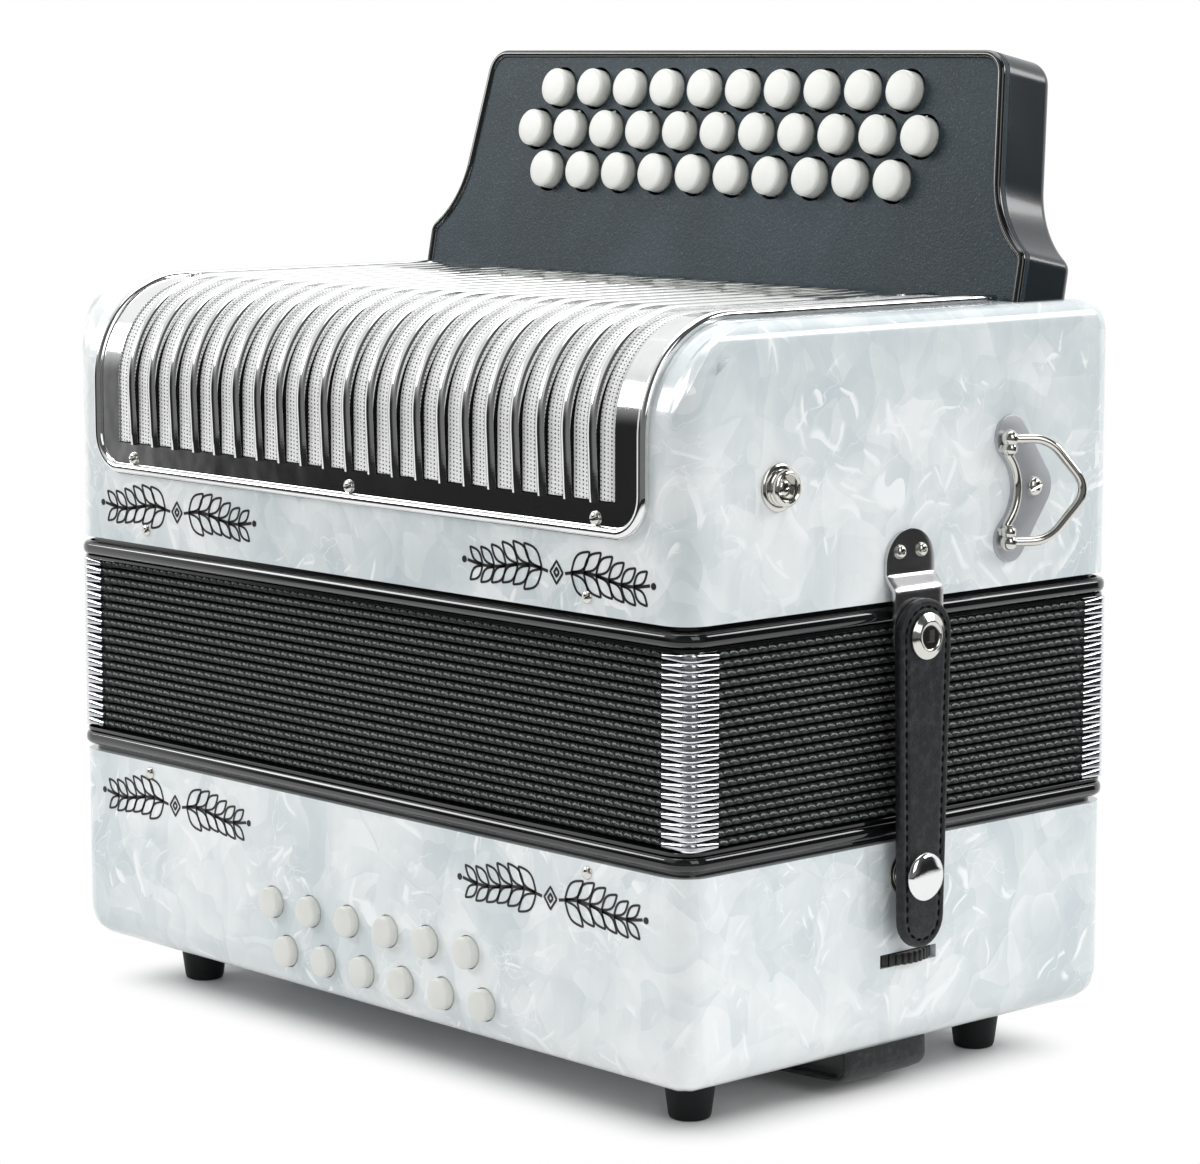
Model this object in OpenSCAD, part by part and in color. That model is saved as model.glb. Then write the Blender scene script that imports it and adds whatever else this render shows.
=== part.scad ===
// Three-row button accordion standing on its bass feet.
// Frame: X along the length, -Y towards the grille, +Z from bass side to treble side, floor at z = 0.

/* [Case] */
// Length of the two cases, along X
case_l = 315; // [300:1:330]
// Depth of the two cases, front to back along Y
case_d = 197; // [185:1:205]
// Height of the bass case
bass_h = 68.5; // [62:0.5:80]
// Height of the treble case
treble_h = 90.3; // [84:0.1:104]
// Thickness of the case walls
case_wall = 6; // [4:0.5:7]
// Radius of the upright edges of the cases
case_r = 10; // [8:0.5:16]
// Radius of the large front edge at the top of the treble case
front_r = 34; // [28:0.5:38]
// Radius of the back edge at the top of the treble case
back_r = 14; // [8:0.5:18]
// Radius of the end edges at the top of the treble case
end_r = 7; // [2:0.5:10]
// Radius of the edges round the bottom of the bass case
base_r = 11; // [8:0.5:18]

/* [Feet] */
// Height of the rubber feet
foot_h = 16.2; // [15:0.1:24]
// Diameter of a foot where it meets the case
foot_top_d = 18; // [14:0.5:24]
// Diameter of a foot at the floor
foot_d = 13.5; // [10:0.5:18]
// Distance from the case end to the middle of a foot
foot_end = 30.7; // [24:0.1:40]
// Distance from the case side to the middle of a foot
foot_side = 32; // [24:0.1:40]

/* [Bellows] */
// Height of the closed bellows between its two frames
bellows_h = 61; // [50:0.5:75]
// Number of folds
fold_count = 20; // [16:1:24]
// Depth of a fold, from its outer edge to the inner opening
fold_depth = 18; // [14:0.5:22]
// Set-back of the folds behind the case faces
fold_inset = 2.8; // [1.2:0.1:3.6]
// Length of one leg of a metal fold corner
corner_leg = 12; // [8:0.5:18]
// Thickness of a metal fold corner
corner_t = 0.6; // [0.4:0.1:1]
// Height of each bellows frame
frame_h = 8; // [7:0.1:10]
// Height of the bead round a bellows frame
bead_h = 5; // [4:0.1:5.5]
// How far the bead stands out past the case faces
bead_out = 0.6; // [0.4:0.1:3]
// Radius of the bead's corners, seen from above
bead_r = 9; // [5:0.5:14]
// Height of the plain strip between a bead and its case
strip_h = 1.8; // [1:0.1:2]
// Set-back of the plain strip behind the case faces
strip_in = 3; // [2:0.1:4]

/* [Grille] */
// Length of the grille, along X
grille_l = 283; // [260:1:292]
// Distance from the treble case's lower edge to the grille's lower edge
grille_low = 24.3; // [18:0.1:30]
// Radius of the grille's two lower corners
grille_r = 14; // [10:0.5:18]
// Distance from the grille's back edge to the fingerboard's face
grille_gap = 2.5; // [1:0.1:5]
// Thickness of the grille sheet
grille_t = 1.2; // [0.8:0.1:2]
// Height of the rim round the grille, from the case
rim_t = 2.8; // [2.2:0.1:3.6]
// Width of the rim
rim_w = 3; // [2:0.1:4]
// Height of the ribs, from the case
rib_t = 3.8; // [3:0.1:5]
// Number of slots
slot_count = 22; // [16:1:26]
// Distance between slot centres
slot_pitch = 11.85; // [10:0.05:12.2]
// Width of a slot
slot_w = 6.6; // [5:0.1:8]
// Distance from the grille's edge to the slot ends
slot_end = 11; // [9:0.5:16]
// Thickness of the cloth behind the grille
cloth_t = 0.8; // [0.4:0.1:1.5]

/* [Fingerboard] */
// Distance from the back of the treble case to the fingerboard's face
board_back = 39.5; // [36:0.5:44]
// Backward lean of the fingerboard, in degrees
board_lean = 11; // [8:0.5:13]
// Height of the fingerboard, measured up its face
board_h = 82.5; // [79:0.5:90]
// Thickness of the fingerboard, front to back
board_t = 25; // [20:0.5:26]
// Thickness of the face plate and of the housing's walls
board_wall = 2.6; // [2:0.1:3]
// Distance from the case end to the fingerboard's foot
board_end = 9; // [5:0.5:12]
// Width of the fingerboard at its waist
waist_w = 266; // [258:1:272]
// Height of the waist, measured up the face
waist_h = 40; // [38:0.5:48]
// Radius of the hollow curve between foot and waist
hollow_r = 34; // [30:1:62]
// Radius of the shoulder above the foot
shoulder_r = 5; // [3:0.5:8]
// Radius of the two top corners
top_r = 9; // [6:0.5:12]
// Inward slope of the sides above the waist, in degrees
side_slope = 7.5; // [5:0.5:9]

/* [Treble buttons] */
// Diameter of a treble button
key_d = 13.9; // [13:0.1:15]
// Clearance round a treble button in the face plate
key_gap = 0.7; // [0.6:0.1:0.9]
// How far a treble button stands out of the face plate
key_out = 4.5; // [3.5:0.1:5.5]
// Distance between neighbouring buttons of a row
key_pitch = 19.25; // [18.6:0.05:19.8]
// Distance between rows, up the face
row_pitch = 15.2; // [14.8:0.1:15.8]
// Height of the middle row, up the face
middle_row = 53.2; // [51:0.1:56]
// Travel of a treble button
key_travel = 2.6; // [2:0.1:3]
// Diameter of the rod that the levers turn on
axle_d = 3; // [2.5:0.1:4]
// Clearance between the rod and a lever's bore, on the radius
axle_gap = 0.05; // [0.02:0.01:0.08]
// Thickness of a lever
lever_t = 2; // [1.5:0.1:2.4]
// Width of a lever's arms
lever_w = 4; // [3:0.1:5]
// Sideways offset of the outer and inner rows' levers
lever_step = 2.6; // [2.5:0.1:3.2]
// Length of a pallet, along Y
pallet_l = 18; // [15:0.5:20]
// Width of a pallet, along X
pallet_w = 14; // [12:0.5:15]
// Thickness of a pallet
pallet_t = 4; // [3:0.1:5]

/* [Bass buttons] */
// Diameter of a bass button
bass_key_d = 10.5; // [9:0.1:12]
// Clearance round a bass button in the case wall
bass_key_gap = 0.3; // [0.2:0.05:0.5]
// How far a bass button stands out of the case
bass_key_out = 3; // [2.4:0.1:4]
// Distance between bass buttons of a row
bass_pitch = 20.3; // [18:0.1:22]
// Distance between the two bass rows
bass_row = 15.8; // [13:0.1:17]
// Distance from the case's lower edge to the lower bass row
bass_low = 14; // [12:0.1:16]
// Distance of the bass buttons' middle from the case's middle, along X
bass_middle = 10.4; // [0:0.1:16]
// Sideways shift of each bass row from that middle
bass_shift = 3.9; // [2:0.1:6]
// Diameter of a bass button's stem
stem_d = 3; // [2.5:0.1:4]
// Clearance between a stem and its guide, on the radius
stem_gap = 0.08; // [0.03:0.01:0.1]

/* [Closure straps] */
// Width of a strap at its pivot
strap_w = 23.6; // [20:0.1:26]
// Width of a strap at its free end
strap_tip_w = 19.6; // [17:0.1:22]
// Thickness of a strap
strap_t = 3.2; // [2.5:0.1:4]
// Distance from the pivot to the snap
snap_reach = 76.9; // [72:0.1:80]
// Distance from the snap to the strap's tip
strap_tip = 23; // [18:0.1:26]
// Distance from the case to the back of a strap
strap_stand = 5.2; // [4.5:0.1:7]
// Diameter of the snap cap and of the stud's base
snap_d = 15.8; // [14:0.1:17]
// Diameter of the stud's ring
stud_d = 11.4; // [9:0.1:12.5]
// Clearance between a stud and the back of a strap
snap_gap = 0.3; // [0.3:0.1:0.6]
// Thickness of the closure bracket
bracket_t = 1.2; // [1:0.1:1.4]
// Swing of a strap from closed to parked, in degrees
park_swing = 131; // [125:1:135]

/* [Strap rings] */
// Diameter of the ring wire
wire_d = 2.6; // [2:0.1:3]
// Distance between the two eyes of a ring
eye_span = 33.1; // [30:0.1:36]
// Reach of the ring's straight legs
ring_leg = 13; // [11:0.1:15]
// Reach of the ring's outer bend
ring_reach = 26.4; // [22:0.1:30]
// Angle between a ring and its plate, in degrees
ring_angle = 34; // [25:1:45]
// Distance from the back of the case to the ring's axis
ring_back = 57.7; // [50:0.1:62]
// Height of the rings' middle above the treble case's lower edge
ring_up = 31.5; // [28:0.1:36]

/* [Hand strap] */
// Width of the hand strap at its middle
hand_w = 58; // [50:1:64]
// Width of the hand strap at its ends
hand_end_w = 38; // [34:1:44]
// Thickness of the hand strap
hand_t = 5; // [4:0.1:6]
// Distance from the hand strap to the case
hand_gap = 7.4; // [6:0.1:8]
// Distance from the case end to the hand strap's end
hand_end = 8; // [6:0.5:12]
// Diameter of the strap wheel
wheel_d = 40; // [36:0.5:42]
// Thickness of the strap wheel
wheel_t = 3.8; // [3:0.1:5]
// Number of ribs round the strap wheel
wheel_ribs = 48; // [36:1:60]
// Height of the strap wheel above the bass case's lower edge
wheel_up = 30.2; // [26:0.1:34]

/* [Hidden] */
treble_rows = [10, 11, 10];
bass_keys = 6;
function two(n) = str(n < 10 ? "0" : "", n);
treble_names = [for (k = [1:31]) str("treble_button_", two(k))];
bass_names = [for (k = [1:12]) str("bass_button_", two(k))];
$fn = 48;

// Small gap that keeps two pieces of one node apart, and overlap that makes a cut run through
seat = 0.05;
over = 1;
// Clearance of a board in its case
board_fit = 0.3;

// Levels up the instrument
bass_z = foot_h;
bass_top = bass_z + bass_h;
fold_z = bass_top + frame_h;
fold_top = fold_z + bellows_h;
treble_z = fold_top + frame_h;
treble_top = treble_z + treble_h;
front_y = -case_d / 2;
end_x = case_l / 2;
board_y = case_d / 2 - board_back;
ring_y = case_d / 2 - ring_back;
inner_l = case_l - 2 * case_wall;
inner_d = case_d - 2 * case_wall;
inner_r = case_r - case_wall;

// ---- Shapes ----

// Square corner left over by a rounding of radius r, with its tip at the origin
module corner_waste(r) {
    difference() {
        translate([-over, -over]) square(r + over);
        translate([r, r]) circle(r);
    }
}

// Rectangle from (0, 0) to (w, h) with its own radius at each corner, from lower left anticlockwise
module rounded(w, h, r1, r2, r3, r4) {
    difference() {
        square([w, h]);
        if (r1 > 0) corner_waste(r1);
        if (r2 > 0) translate([w, 0]) rotate(90) corner_waste(r2);
        if (r3 > 0) translate([w, h]) rotate(180) corner_waste(r3);
        if (r4 > 0) translate([0, h]) rotate(270) corner_waste(r4);
    }
}

module plan(l, w, r) {
    translate([-l / 2, -w / 2]) rounded(l, w, r, r, r, r);
}

// Flat ring between two plans
module plan_ring(l, w, r, inner_w, inner_d2, inner_r2) {
    difference() {
        plan(l, w, r);
        plan(inner_w, inner_d2, inner_r2);
    }
}

// Extrudes a shape drawn in (Y, Z) along X over the length l, centred
module along_x(l) {
    rotate([90, 0, 90]) linear_extrude(l, center = true) children();
}

// Extrudes a shape drawn in (X, Z) from y0 to y1
module along_y(y0, y1) {
    translate([0, y1, 0]) rotate([90, 0, 0]) linear_extrude(y1 - y0) children();
}

// Cylinder with its axis along X, from x0 to x1
module rod_x(d, x0, x1) {
    translate([x0, 0, 0]) rotate([0, 90, 0]) cylinder(h = x1 - x0, d = d);
}

// Cylinder with its axis along Y, from y0 to y1
module rod_y(d, y0, y1) {
    translate([0, y1, 0]) rotate([90, 0, 0]) cylinder(h = y1 - y0, d = d);
}

module both_ends() {
    children();
    mirror([1, 0, 0]) children();
}

// ---- Treble case, grille and fingerboard ----

// Treble case's side outline, moved in by t
module treble_side(t, lower) {
    translate([front_y + t, treble_z - lower])
        rounded(case_d - 2 * t, treble_h - t + lower, 0, 0, back_r - t, front_r - t);
}

// Solid bounded by the treble case's outline, moved in by t
module treble_block(t, lower) {
    intersection() {
        translate([0, 0, treble_z - lower])
            linear_extrude(treble_h + lower) plan(case_l - 2 * t, case_d - 2 * t, case_r - t);
        along_x(case_l) treble_side(t, lower);
        along_y(-case_d, case_d)
            translate([-end_x + t, treble_z - lower])
                rounded(case_l - 2 * t, treble_h - t + lower, 0, 0, max(end_r - t, 1), max(end_r - t, 1));
    }
}

// Back edge of the grille, and span of the slots
grille_back = board_y - grille_gap;
slot_low = treble_z + grille_low + slot_end;
slot_back = grille_back - slot_end / 2;
slot_span = (slot_count - 1) * slot_pitch + slot_w;

// Slot in the case under the fingerboard, for the levers
lever_slot_l = 10 * key_pitch + 3 * lever_w;
lever_slot_front = board_y + board_wall + 1.5;
lever_slot_back = board_y + board_t - board_wall - 2;

module treble_case() {
    color("gainsboro") difference() {
        treble_block(0, 0);
        treble_block(case_wall, over);
        // Sound opening behind the slots
        translate([-slot_span / 2, front_y - over, slot_low])
            cube([slot_span, slot_back - front_y + over, treble_h]);
        translate([-lever_slot_l / 2, lever_slot_front, treble_top - 2 * case_wall])
            cube([lever_slot_l, lever_slot_back - lever_slot_front, 3 * case_wall]);
    }
}

// Sheet of thickness t laid on the case's front and top, over the grille's full height
module grille_wrap(t, lift) {
    difference() {
        translate([front_y - t, treble_z + lift])
            rounded(case_d, treble_h + t - lift, 0, 0, 0, front_r + t);
        translate([front_y - seat, 0])
            rounded(case_d, treble_top + seat, 0, 0, 0, front_r + seat);
    }
}

module grille_outline(inset) {
    w = grille_l - 2 * inset;
    translate([-w / 2, treble_z + grille_low + inset])
        rounded(w, treble_h, grille_r - inset, grille_r - inset, 0, 0);
}

// The part of a wrapped sheet that lies within the grille's outline
module grille_sheet(t, inset) {
    intersection() {
        along_x(grille_l) grille_wrap(t, grille_low / 2);
        along_y(front_y - 2 * rib_t, grille_back - inset) grille_outline(inset);
    }
}

module slots(extra) {
    for (i = [0:slot_count - 1])
        translate([(i - (slot_count - 1) / 2) * slot_pitch, 0, 0])
            translate([-slot_w / 2 - extra, front_y - 2 * rib_t, slot_low])
                cube([slot_w + 2 * extra, slot_back - front_y + 2 * rib_t, treble_h]);
}

module treble_grille() {
    color("silver") {
        difference() {
            union() {
                grille_sheet(grille_t, 0);
                difference() {
                    grille_sheet(rim_t, 0);
                    grille_sheet(rim_t + over, rim_w);
                }
                intersection() {
                    along_x(slot_span) grille_wrap(rib_t, grille_low);
                    translate([-slot_span / 2, front_y - 2 * rib_t, slot_low])
                        cube([slot_span, slot_back - front_y + 2 * rib_t, treble_h]);
                }
            }
            slots(0);
        }
    }
    // Cloth held behind the slots, inside the case's opening
    color("white") intersection() {
        along_x(slot_span - 2 * board_fit) difference() {
            treble_side(seat, 0);
            treble_side(seat + cloth_t, over);
        }
        translate([-case_l, front_y - over, slot_low + board_fit])
            cube([2 * case_l, slot_back - front_y + over - board_fit, treble_h]);
    }
}

// Moves a shape from the fingerboard's own frame (X, depth, height) to its place
module on_board() {
    translate([0, board_y, treble_top]) rotate([-board_lean, 0, 0]) children();
}

function arc(c, r, a0, a1, n) =
    [for (i = [0:n]) let (a = a0 + (a1 - a0) * i / n) c + r * [cos(a), sin(a)]];

// Right half of the fingerboard's outline, moved in by t, from the foot up
function half_outline(t) = let (
        foot = end_x - board_end - t,
        a = side_slope,
        waist = [waist_w / 2, waist_h],
        hollow = waist + hollow_r * [cos(a), sin(a)],
        big = hollow_r + t,
        small = max(shoulder_r - t, 1),
        turn = acos((hollow[0] - foot + small) / (big + small)),
        shoulder = [foot - small, hollow[1] - (big + small) * sin(turn)],
        tip = max(top_r - t, 1),
        top_y = board_h - t - tip,
        side = waist[0] - t / cos(a) - (top_y + tip * sin(a) - waist_h) * tan(a),
        top = [side - tip * cos(a), top_y]
    ) concat(
        [[foot, -board_t]],
        arc(shoulder, small, 0, turn, 6),
        arc(hollow, big, 180 + turn - 3, 180 + a, 12),
        arc(top, tip, a, 90, 8));

module board_outline(t) {
    right = half_outline(t);
    n = len(right);
    polygon(concat(right, [for (i = [0:n - 1]) [-right[n - 1 - i][0], right[n - 1 - i][1]]]));
}

// Position of each treble button: [x, height, row]
treble_keys = [for (r = [0:2]) for (i = [0:treble_rows[r] - 1])
    [(i - (treble_rows[r] - 1) / 2) * key_pitch, middle_row + (1 - r) * row_pitch, r]];

module above_case() {
    intersection() {
        children();
        translate([-case_l, -case_d, treble_top + seat]) cube([2 * case_l, 2 * case_d, 2 * board_h]);
    }
}

module fingerboard() {
    color("black") {
        above_case() on_board() difference() {
            along_y(board_wall + seat, board_t) board_outline(0);
            along_y(0, board_t - board_wall) board_outline(board_wall);
        }
        above_case() on_board() difference() {
            along_y(0, board_wall) board_outline(0);
            for (k = treble_keys)
                translate([k[0], 0, k[1]]) rod_y(key_d + 2 * key_gap, -over, board_wall + over);
        }
    }
}

// Button cap of diameter d with a bevelled edge, reaching from depth low up to height high
module cap(d, low, high) {
    edge = 1;
    rotate([90, 0, 0]) rotate_extrude()
        polygon([[0, -low], [d / 2, -low], [d / 2, high - edge], [d / 2 - edge, high], [0, high]]);
}

// ---- Treble action ----

// The levers' axle in the fingerboard's frame (depth, height) and in the instrument's frame (Y, Z)
arm_depth = board_wall + key_travel + lever_w / 2 + 2.2;
axle_low = 15;
axle_y = board_y + arm_depth * cos(board_lean) - axle_low * sin(board_lean);
axle_z = treble_top - arm_depth * sin(board_lean) - axle_low * cos(board_lean);
// Boss round the axle
boss_d = axle_d + 5;

// Soundboard that the pallets close
soundboard_t = 4;
soundboard_z = treble_top - front_r - soundboard_t;
soundboard_top = soundboard_z + soundboard_t;
// Distance from the axle to the pallets of each row, from the outer row in
pallet_step = pallet_l + 6;
pallet_reach = [for (r = [0:2]) pallet_step * (3 - r) + pallet_l / 2 + 3];

function lever_x(k) = k[0] + (1 - k[2]) * lever_step;

module lever_plate(k) {
    reach = pallet_reach[k[2]];
    foot = soundboard_top + pallet_t / 2;
    translate([lever_x(k), 0, 0]) {
        along_x(lever_t) {
            // Upright arm and stem, in the fingerboard's frame
            translate([board_y, treble_top]) rotate(-board_lean) {
                translate([arm_depth - lever_w / 2, -axle_low])
                    square([lever_w, k[1] + axle_low + lever_w / 2]);
                translate([0, k[1] - lever_w / 2]) square([arm_depth, lever_w]);
            }
            // Arm to the pallet
            translate([axle_y, axle_z]) circle(d = boss_d);
            translate([axle_y - reach - lever_w / 2, axle_z - lever_w / 2])
                square([reach + lever_w / 2, lever_w]);
            translate([axle_y - reach - lever_w / 2, foot]) square([lever_w, axle_z - foot]);
        }
    }
}

module treble_button(k) {
    color("ivory") {
        difference() {
            union() {
                lever_plate(k);
                translate([lever_x(k), axle_y - pallet_reach[k[2]], soundboard_top + seat])
                    translate([-pallet_w / 2, -pallet_l / 2, 0]) cube([pallet_w, pallet_l, pallet_t]);
                on_board() translate([k[0], 0, k[1]]) cap(key_d, board_wall - 1, key_out);
            }
            translate([0, axle_y, axle_z]) rod_x(axle_d + 2 * axle_gap, -case_l, case_l);
        }
    }
}

// ---- Boards and reed blocks ----

// Block of reed chambers: depth d, height h, its base at the origin, with reed recesses on both sides
module reed_block(pitch, d, h, cells) {
    l = (cells - 1) * pitch + reed_w + 2 * block_wall;
    difference() {
        translate([-l / 2, -d / 2, 0]) cube([l, d, h]);
        for (i = [0:cells - 1]) for (s = [-1, 1])
            translate([(i - (cells - 1) / 2) * pitch - reed_w / 2, s * d / 2 - reed_in, block_wall])
                cube([reed_w, 2 * reed_in, h - 2 * block_wall]);
    }
}

// Reed blocks: heights, wall, and the width and depth of a recess for a reed plate
treble_block_h = 40;
bass_block_h = 30;
block_wall = 5;
reed_w = 14;
reed_in = 2;
// Level of the treble reed chambers' floors
chamber_z = soundboard_z - treble_block_h + block_wall;
// Rim that a pallet keeps round its hole
pallet_rim = [2, 3];
post_t = 5;
axle_end = 5 * key_pitch + lever_step + 8;

module treble_soundboard() {
    color("burlywood") {
        difference() {
            union() {
                translate([0, 0, soundboard_z]) linear_extrude(soundboard_t)
                    plan(inner_l - 2 * board_fit, inner_d - 2 * board_fit, inner_r);
                // Reed blocks under the rows of pallets
                for (r = [0:2])
                    translate([(1 - r) * lever_step, axle_y - pallet_reach[r], soundboard_z - treble_block_h])
                        reed_block(key_pitch, pallet_step - block_wall, treble_block_h, treble_rows[r]);
            }
            // Hole under each pallet, down into its reed chamber
            for (k = treble_keys)
                translate([lever_x(k), axle_y - pallet_reach[k[2]], chamber_z])
                    linear_extrude(treble_block_h + soundboard_t)
                        square([pallet_w - 2 * pallet_rim[0], pallet_l - 2 * pallet_rim[1]], center = true);
        }
        // Posts of the axle
        both_ends() translate([axle_end, axle_y - boss_d / 2, soundboard_top])
            cube([post_t, boss_d, axle_z + boss_d / 2 - soundboard_top]);
    }
    color("silver") translate([0, axle_y, axle_z]) rod_x(axle_d, -axle_end - post_t, axle_end + post_t);
}

// Bass soundboard, its reed blocks to each side of the middle, and the guide rail of the buttons
bass_board_t = 4;
bass_board_z = bass_top - 26;
bass_block_y = 25;
guide_y = front_y + case_wall + 16;
guide_t = 4;

// Position of each bass button: [x, z]
bass_positions = [for (r = [1, 0]) for (i = [0:bass_keys - 1])
    [(i - (bass_keys - 1) / 2) * bass_pitch + bass_middle + (1 - 2 * r) * bass_shift,
     bass_z + bass_low + r * bass_row]];

module bass_soundboard() {
    color("burlywood") {
        translate([0, 0, bass_board_z]) linear_extrude(bass_board_t)
            plan(inner_l - 2 * board_fit, inner_d - 2 * board_fit, inner_r);
        for (y = [-1, 1])
            translate([0, y * bass_block_y, bass_board_z + bass_board_t])
                reed_block(2 * key_pitch, bass_block_y, bass_block_h, bass_keys);
        // Guide rail of the bass buttons
        rail_l = (bass_keys + 0.6) * bass_pitch;
        difference() {
            translate([bass_middle - rail_l / 2, guide_y, bass_z + case_wall + 1])
                cube([rail_l, guide_t, bass_board_z - bass_z - case_wall - 1]);
            for (p = bass_positions)
                translate([p[0], guide_y, p[1]]) rod_y(stem_d + 2 * stem_gap, -over, guide_t + over);
        }
    }
}

// ---- Frames and bellows ----

opening_l = case_l - 2 * fold_inset - 2 * fold_depth;
opening_d = case_d - 2 * fold_inset - 2 * fold_depth;
opening_r = 4;

// Bellows frame with its case side at z = 0 and its bellows side at z = frame_h
module bellows_frame() {
    ledge = frame_h - strip_h - bead_h;
    color([0.05, 0.05, 0.05]) {
        linear_extrude(strip_h)
            plan_ring(case_l - 2 * strip_in, case_d - 2 * strip_in, case_r - strip_in,
                opening_l, opening_d, opening_r);
        translate([0, 0, strip_h]) linear_extrude(bead_h)
            plan_ring(case_l + 2 * bead_out, case_d + 2 * bead_out, bead_r, opening_l, opening_d, opening_r);
        translate([0, 0, strip_h + bead_h]) linear_extrude(ledge)
            plan_ring(case_l, case_d, bead_r, opening_l, opening_d, opening_r);
    }
}

module bass_frame() {
    translate([0, 0, bass_top]) bellows_frame();
}

module treble_frame() {
    translate([0, 0, treble_z]) mirror([0, 0, 1]) bellows_frame();
}

fold_l = case_l - 2 * fold_inset;
fold_d = case_d - 2 * fold_inset;
fold_r = 3;
fold_pitch = bellows_h / fold_count;

module bellows() {
    land = fold_pitch * 0.8;
    valley = 3;
    skin = corner_t + seat;
    color([0.1, 0.1, 0.1]) difference() {
        union() {
            translate([0, 0, fold_z + board_fit]) linear_extrude(bellows_h - 2 * board_fit)
                plan(fold_l - 2 * valley, fold_d - 2 * valley, fold_r);
            for (i = [0:fold_count - 1])
                translate([0, 0, fold_z + (i + 0.5) * fold_pitch - land / 2])
                    linear_extrude(land) plan(fold_l, fold_d, fold_r);
        }
        translate([0, 0, fold_z - over]) linear_extrude(bellows_h + 2 * over)
            plan(opening_l, opening_d, opening_r);
    }
    // Metal corner on each fold
    color("silver") for (i = [0:fold_count - 1])
        translate([0, 0, fold_z + (i + 0.5) * fold_pitch - land / 2])
            linear_extrude(land) intersection() {
                difference() {
                    plan(fold_l + 2 * skin, fold_d + 2 * skin, fold_r + skin);
                    plan(fold_l + 2 * seat, fold_d + 2 * seat, fold_r + seat);
                }
                for (sx = [-1, 1]) for (sy = [-1, 1])
                    translate([sx * fold_l / 2, sy * fold_d / 2]) square(2 * corner_leg, center = true);
            }
}

// ---- Bass side ----

// Solid bounded by the bass case's outline, moved in by t
module bass_block(t, upper) {
    r = max(base_r - t, 1);
    intersection() {
        translate([0, 0, bass_z + t])
            linear_extrude(bass_h - t + upper) plan(case_l - 2 * t, case_d - 2 * t, case_r - t);
        along_x(case_l) translate([front_y + t, bass_z + t])
            rounded(case_d - 2 * t, bass_h - t + upper, r, r, 0, 0);
        along_y(-case_d, case_d) translate([-end_x + t, bass_z + t])
            rounded(case_l - 2 * t, bass_h - t + upper, r, r, 0, 0);
    }
}

// Strap wheel: its middle and the slot that it shows through
wheel_out = 2.5;
wheel_x = end_x - wheel_d / 2 + wheel_out;
wheel_y = 0.4;
wheel_z = bass_z + wheel_up;
wheel_gap = 0.3;
wheel_slot = 26;
rod_d = 6;

module bass_case() {
    color("gainsboro") difference() {
        bass_block(0, 0);
        bass_block(case_wall, over);
        for (p = bass_positions)
            translate([p[0], front_y, p[1]]) rod_y(bass_key_d + 2 * bass_key_gap, -over, base_r + over);
        // Slot of the strap wheel, with a round pocket behind it
        translate([0, 0, wheel_z - wheel_t / 2 - wheel_gap]) {
            translate([end_x - case_wall - over, wheel_y - wheel_slot / 2, 0])
                cube([case_wall + 2 * over, wheel_slot, wheel_t + 2 * wheel_gap]);
            translate([wheel_x, wheel_y, 0])
                cylinder(h = wheel_t + 2 * wheel_gap, d = wheel_d + 4 * wheel_gap);
        }
    }
}

module bass_button(p) {
    color("ivory") translate([p[0], front_y, p[1]]) {
        cap(bass_key_d, case_wall + 2, bass_key_out);
        rod_y(stem_d, case_wall + 1, guide_y - front_y + guide_t + 3);
    }
}

module feet() {
    color([0.08, 0.08, 0.08]) for (sx = [-1, 1]) for (sy = [-1, 1])
        translate([sx * (end_x - foot_end), sy * (case_d / 2 - foot_side), 0])
            cylinder(h = foot_h, d1 = foot_d, d2 = foot_top_d);
}

hand_y = 1.5;
hand_half = end_x - hand_end;
hand_z = bass_z - hand_gap - hand_t;
hand_loop = 8;

module hand_strap() {
    color([0.1, 0.1, 0.1]) intersection() {
        along_y(-case_d, case_d) difference() {
            translate([-hand_half, hand_z])
                rounded(2 * hand_half, bass_z - seat - hand_z, hand_t / 2, hand_t / 2, 0, 0);
            translate([-hand_half + hand_loop, hand_z + hand_t])
                square([2 * (hand_half - hand_loop), bass_z]);
        }
        linear_extrude(bass_z) polygon([for (s = [-1, 1])
            for (p = [[-1, hand_end_w], [-0.45, hand_w], [0.45, hand_w], [1, hand_end_w]])
                [s * p[0] * hand_half, hand_y + s * p[1] / 2]]);
    }
}

module strap_wheel() {
    color([0.08, 0.08, 0.08]) translate([wheel_x, wheel_y, wheel_z - wheel_t / 2]) difference() {
        linear_extrude(wheel_t) polygon([for (i = [0:2 * wheel_ribs - 1])
            (wheel_d / 2 - (i % 2) * 0.6) * [cos(i * 180 / wheel_ribs), sin(i * 180 / wheel_ribs)]]);
        translate([0, 0, -over]) cylinder(h = wheel_t + 2 * over, d = rod_d + 2 * axle_gap);
    }
}

// ---- Fittings ----

pin_d = 4.6;
pin_h = 1.2;
pin_x = 114;

module round_head(d, h) {
    rotate_extrude() polygon([[0, 0], [d / 2, 0], [d / 2, h / 2], [d * 0.3, h], [0, h]]);
}

// Pins that hold a case on its frame, at the level z
module case_pins(z) {
    for (sx = [-1, 1]) for (sy = [-1, 1])
        translate([sx * pin_x, sy * (case_d / 2 + seat), z])
            rotate([-90 * sy, 0, 0]) round_head(pin_d, pin_h);
}

// Press stud on the right face: base, neck and ring
module press_stud(y, z) {
    h = strap_stand - snap_gap;
    translate([end_x + seat, y, z]) rotate([0, 90, 0]) difference() {
        union() {
            cylinder(h = h * 0.3, d = snap_d);
            cylinder(h = h * 0.7, d = (snap_d + stud_d) / 2 - 1.2);
            cylinder(h = h - seat, d = stud_d);
        }
        translate([0, 0, h * 0.45]) cylinder(h = h, d = stud_d - 3);
    }
}

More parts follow.
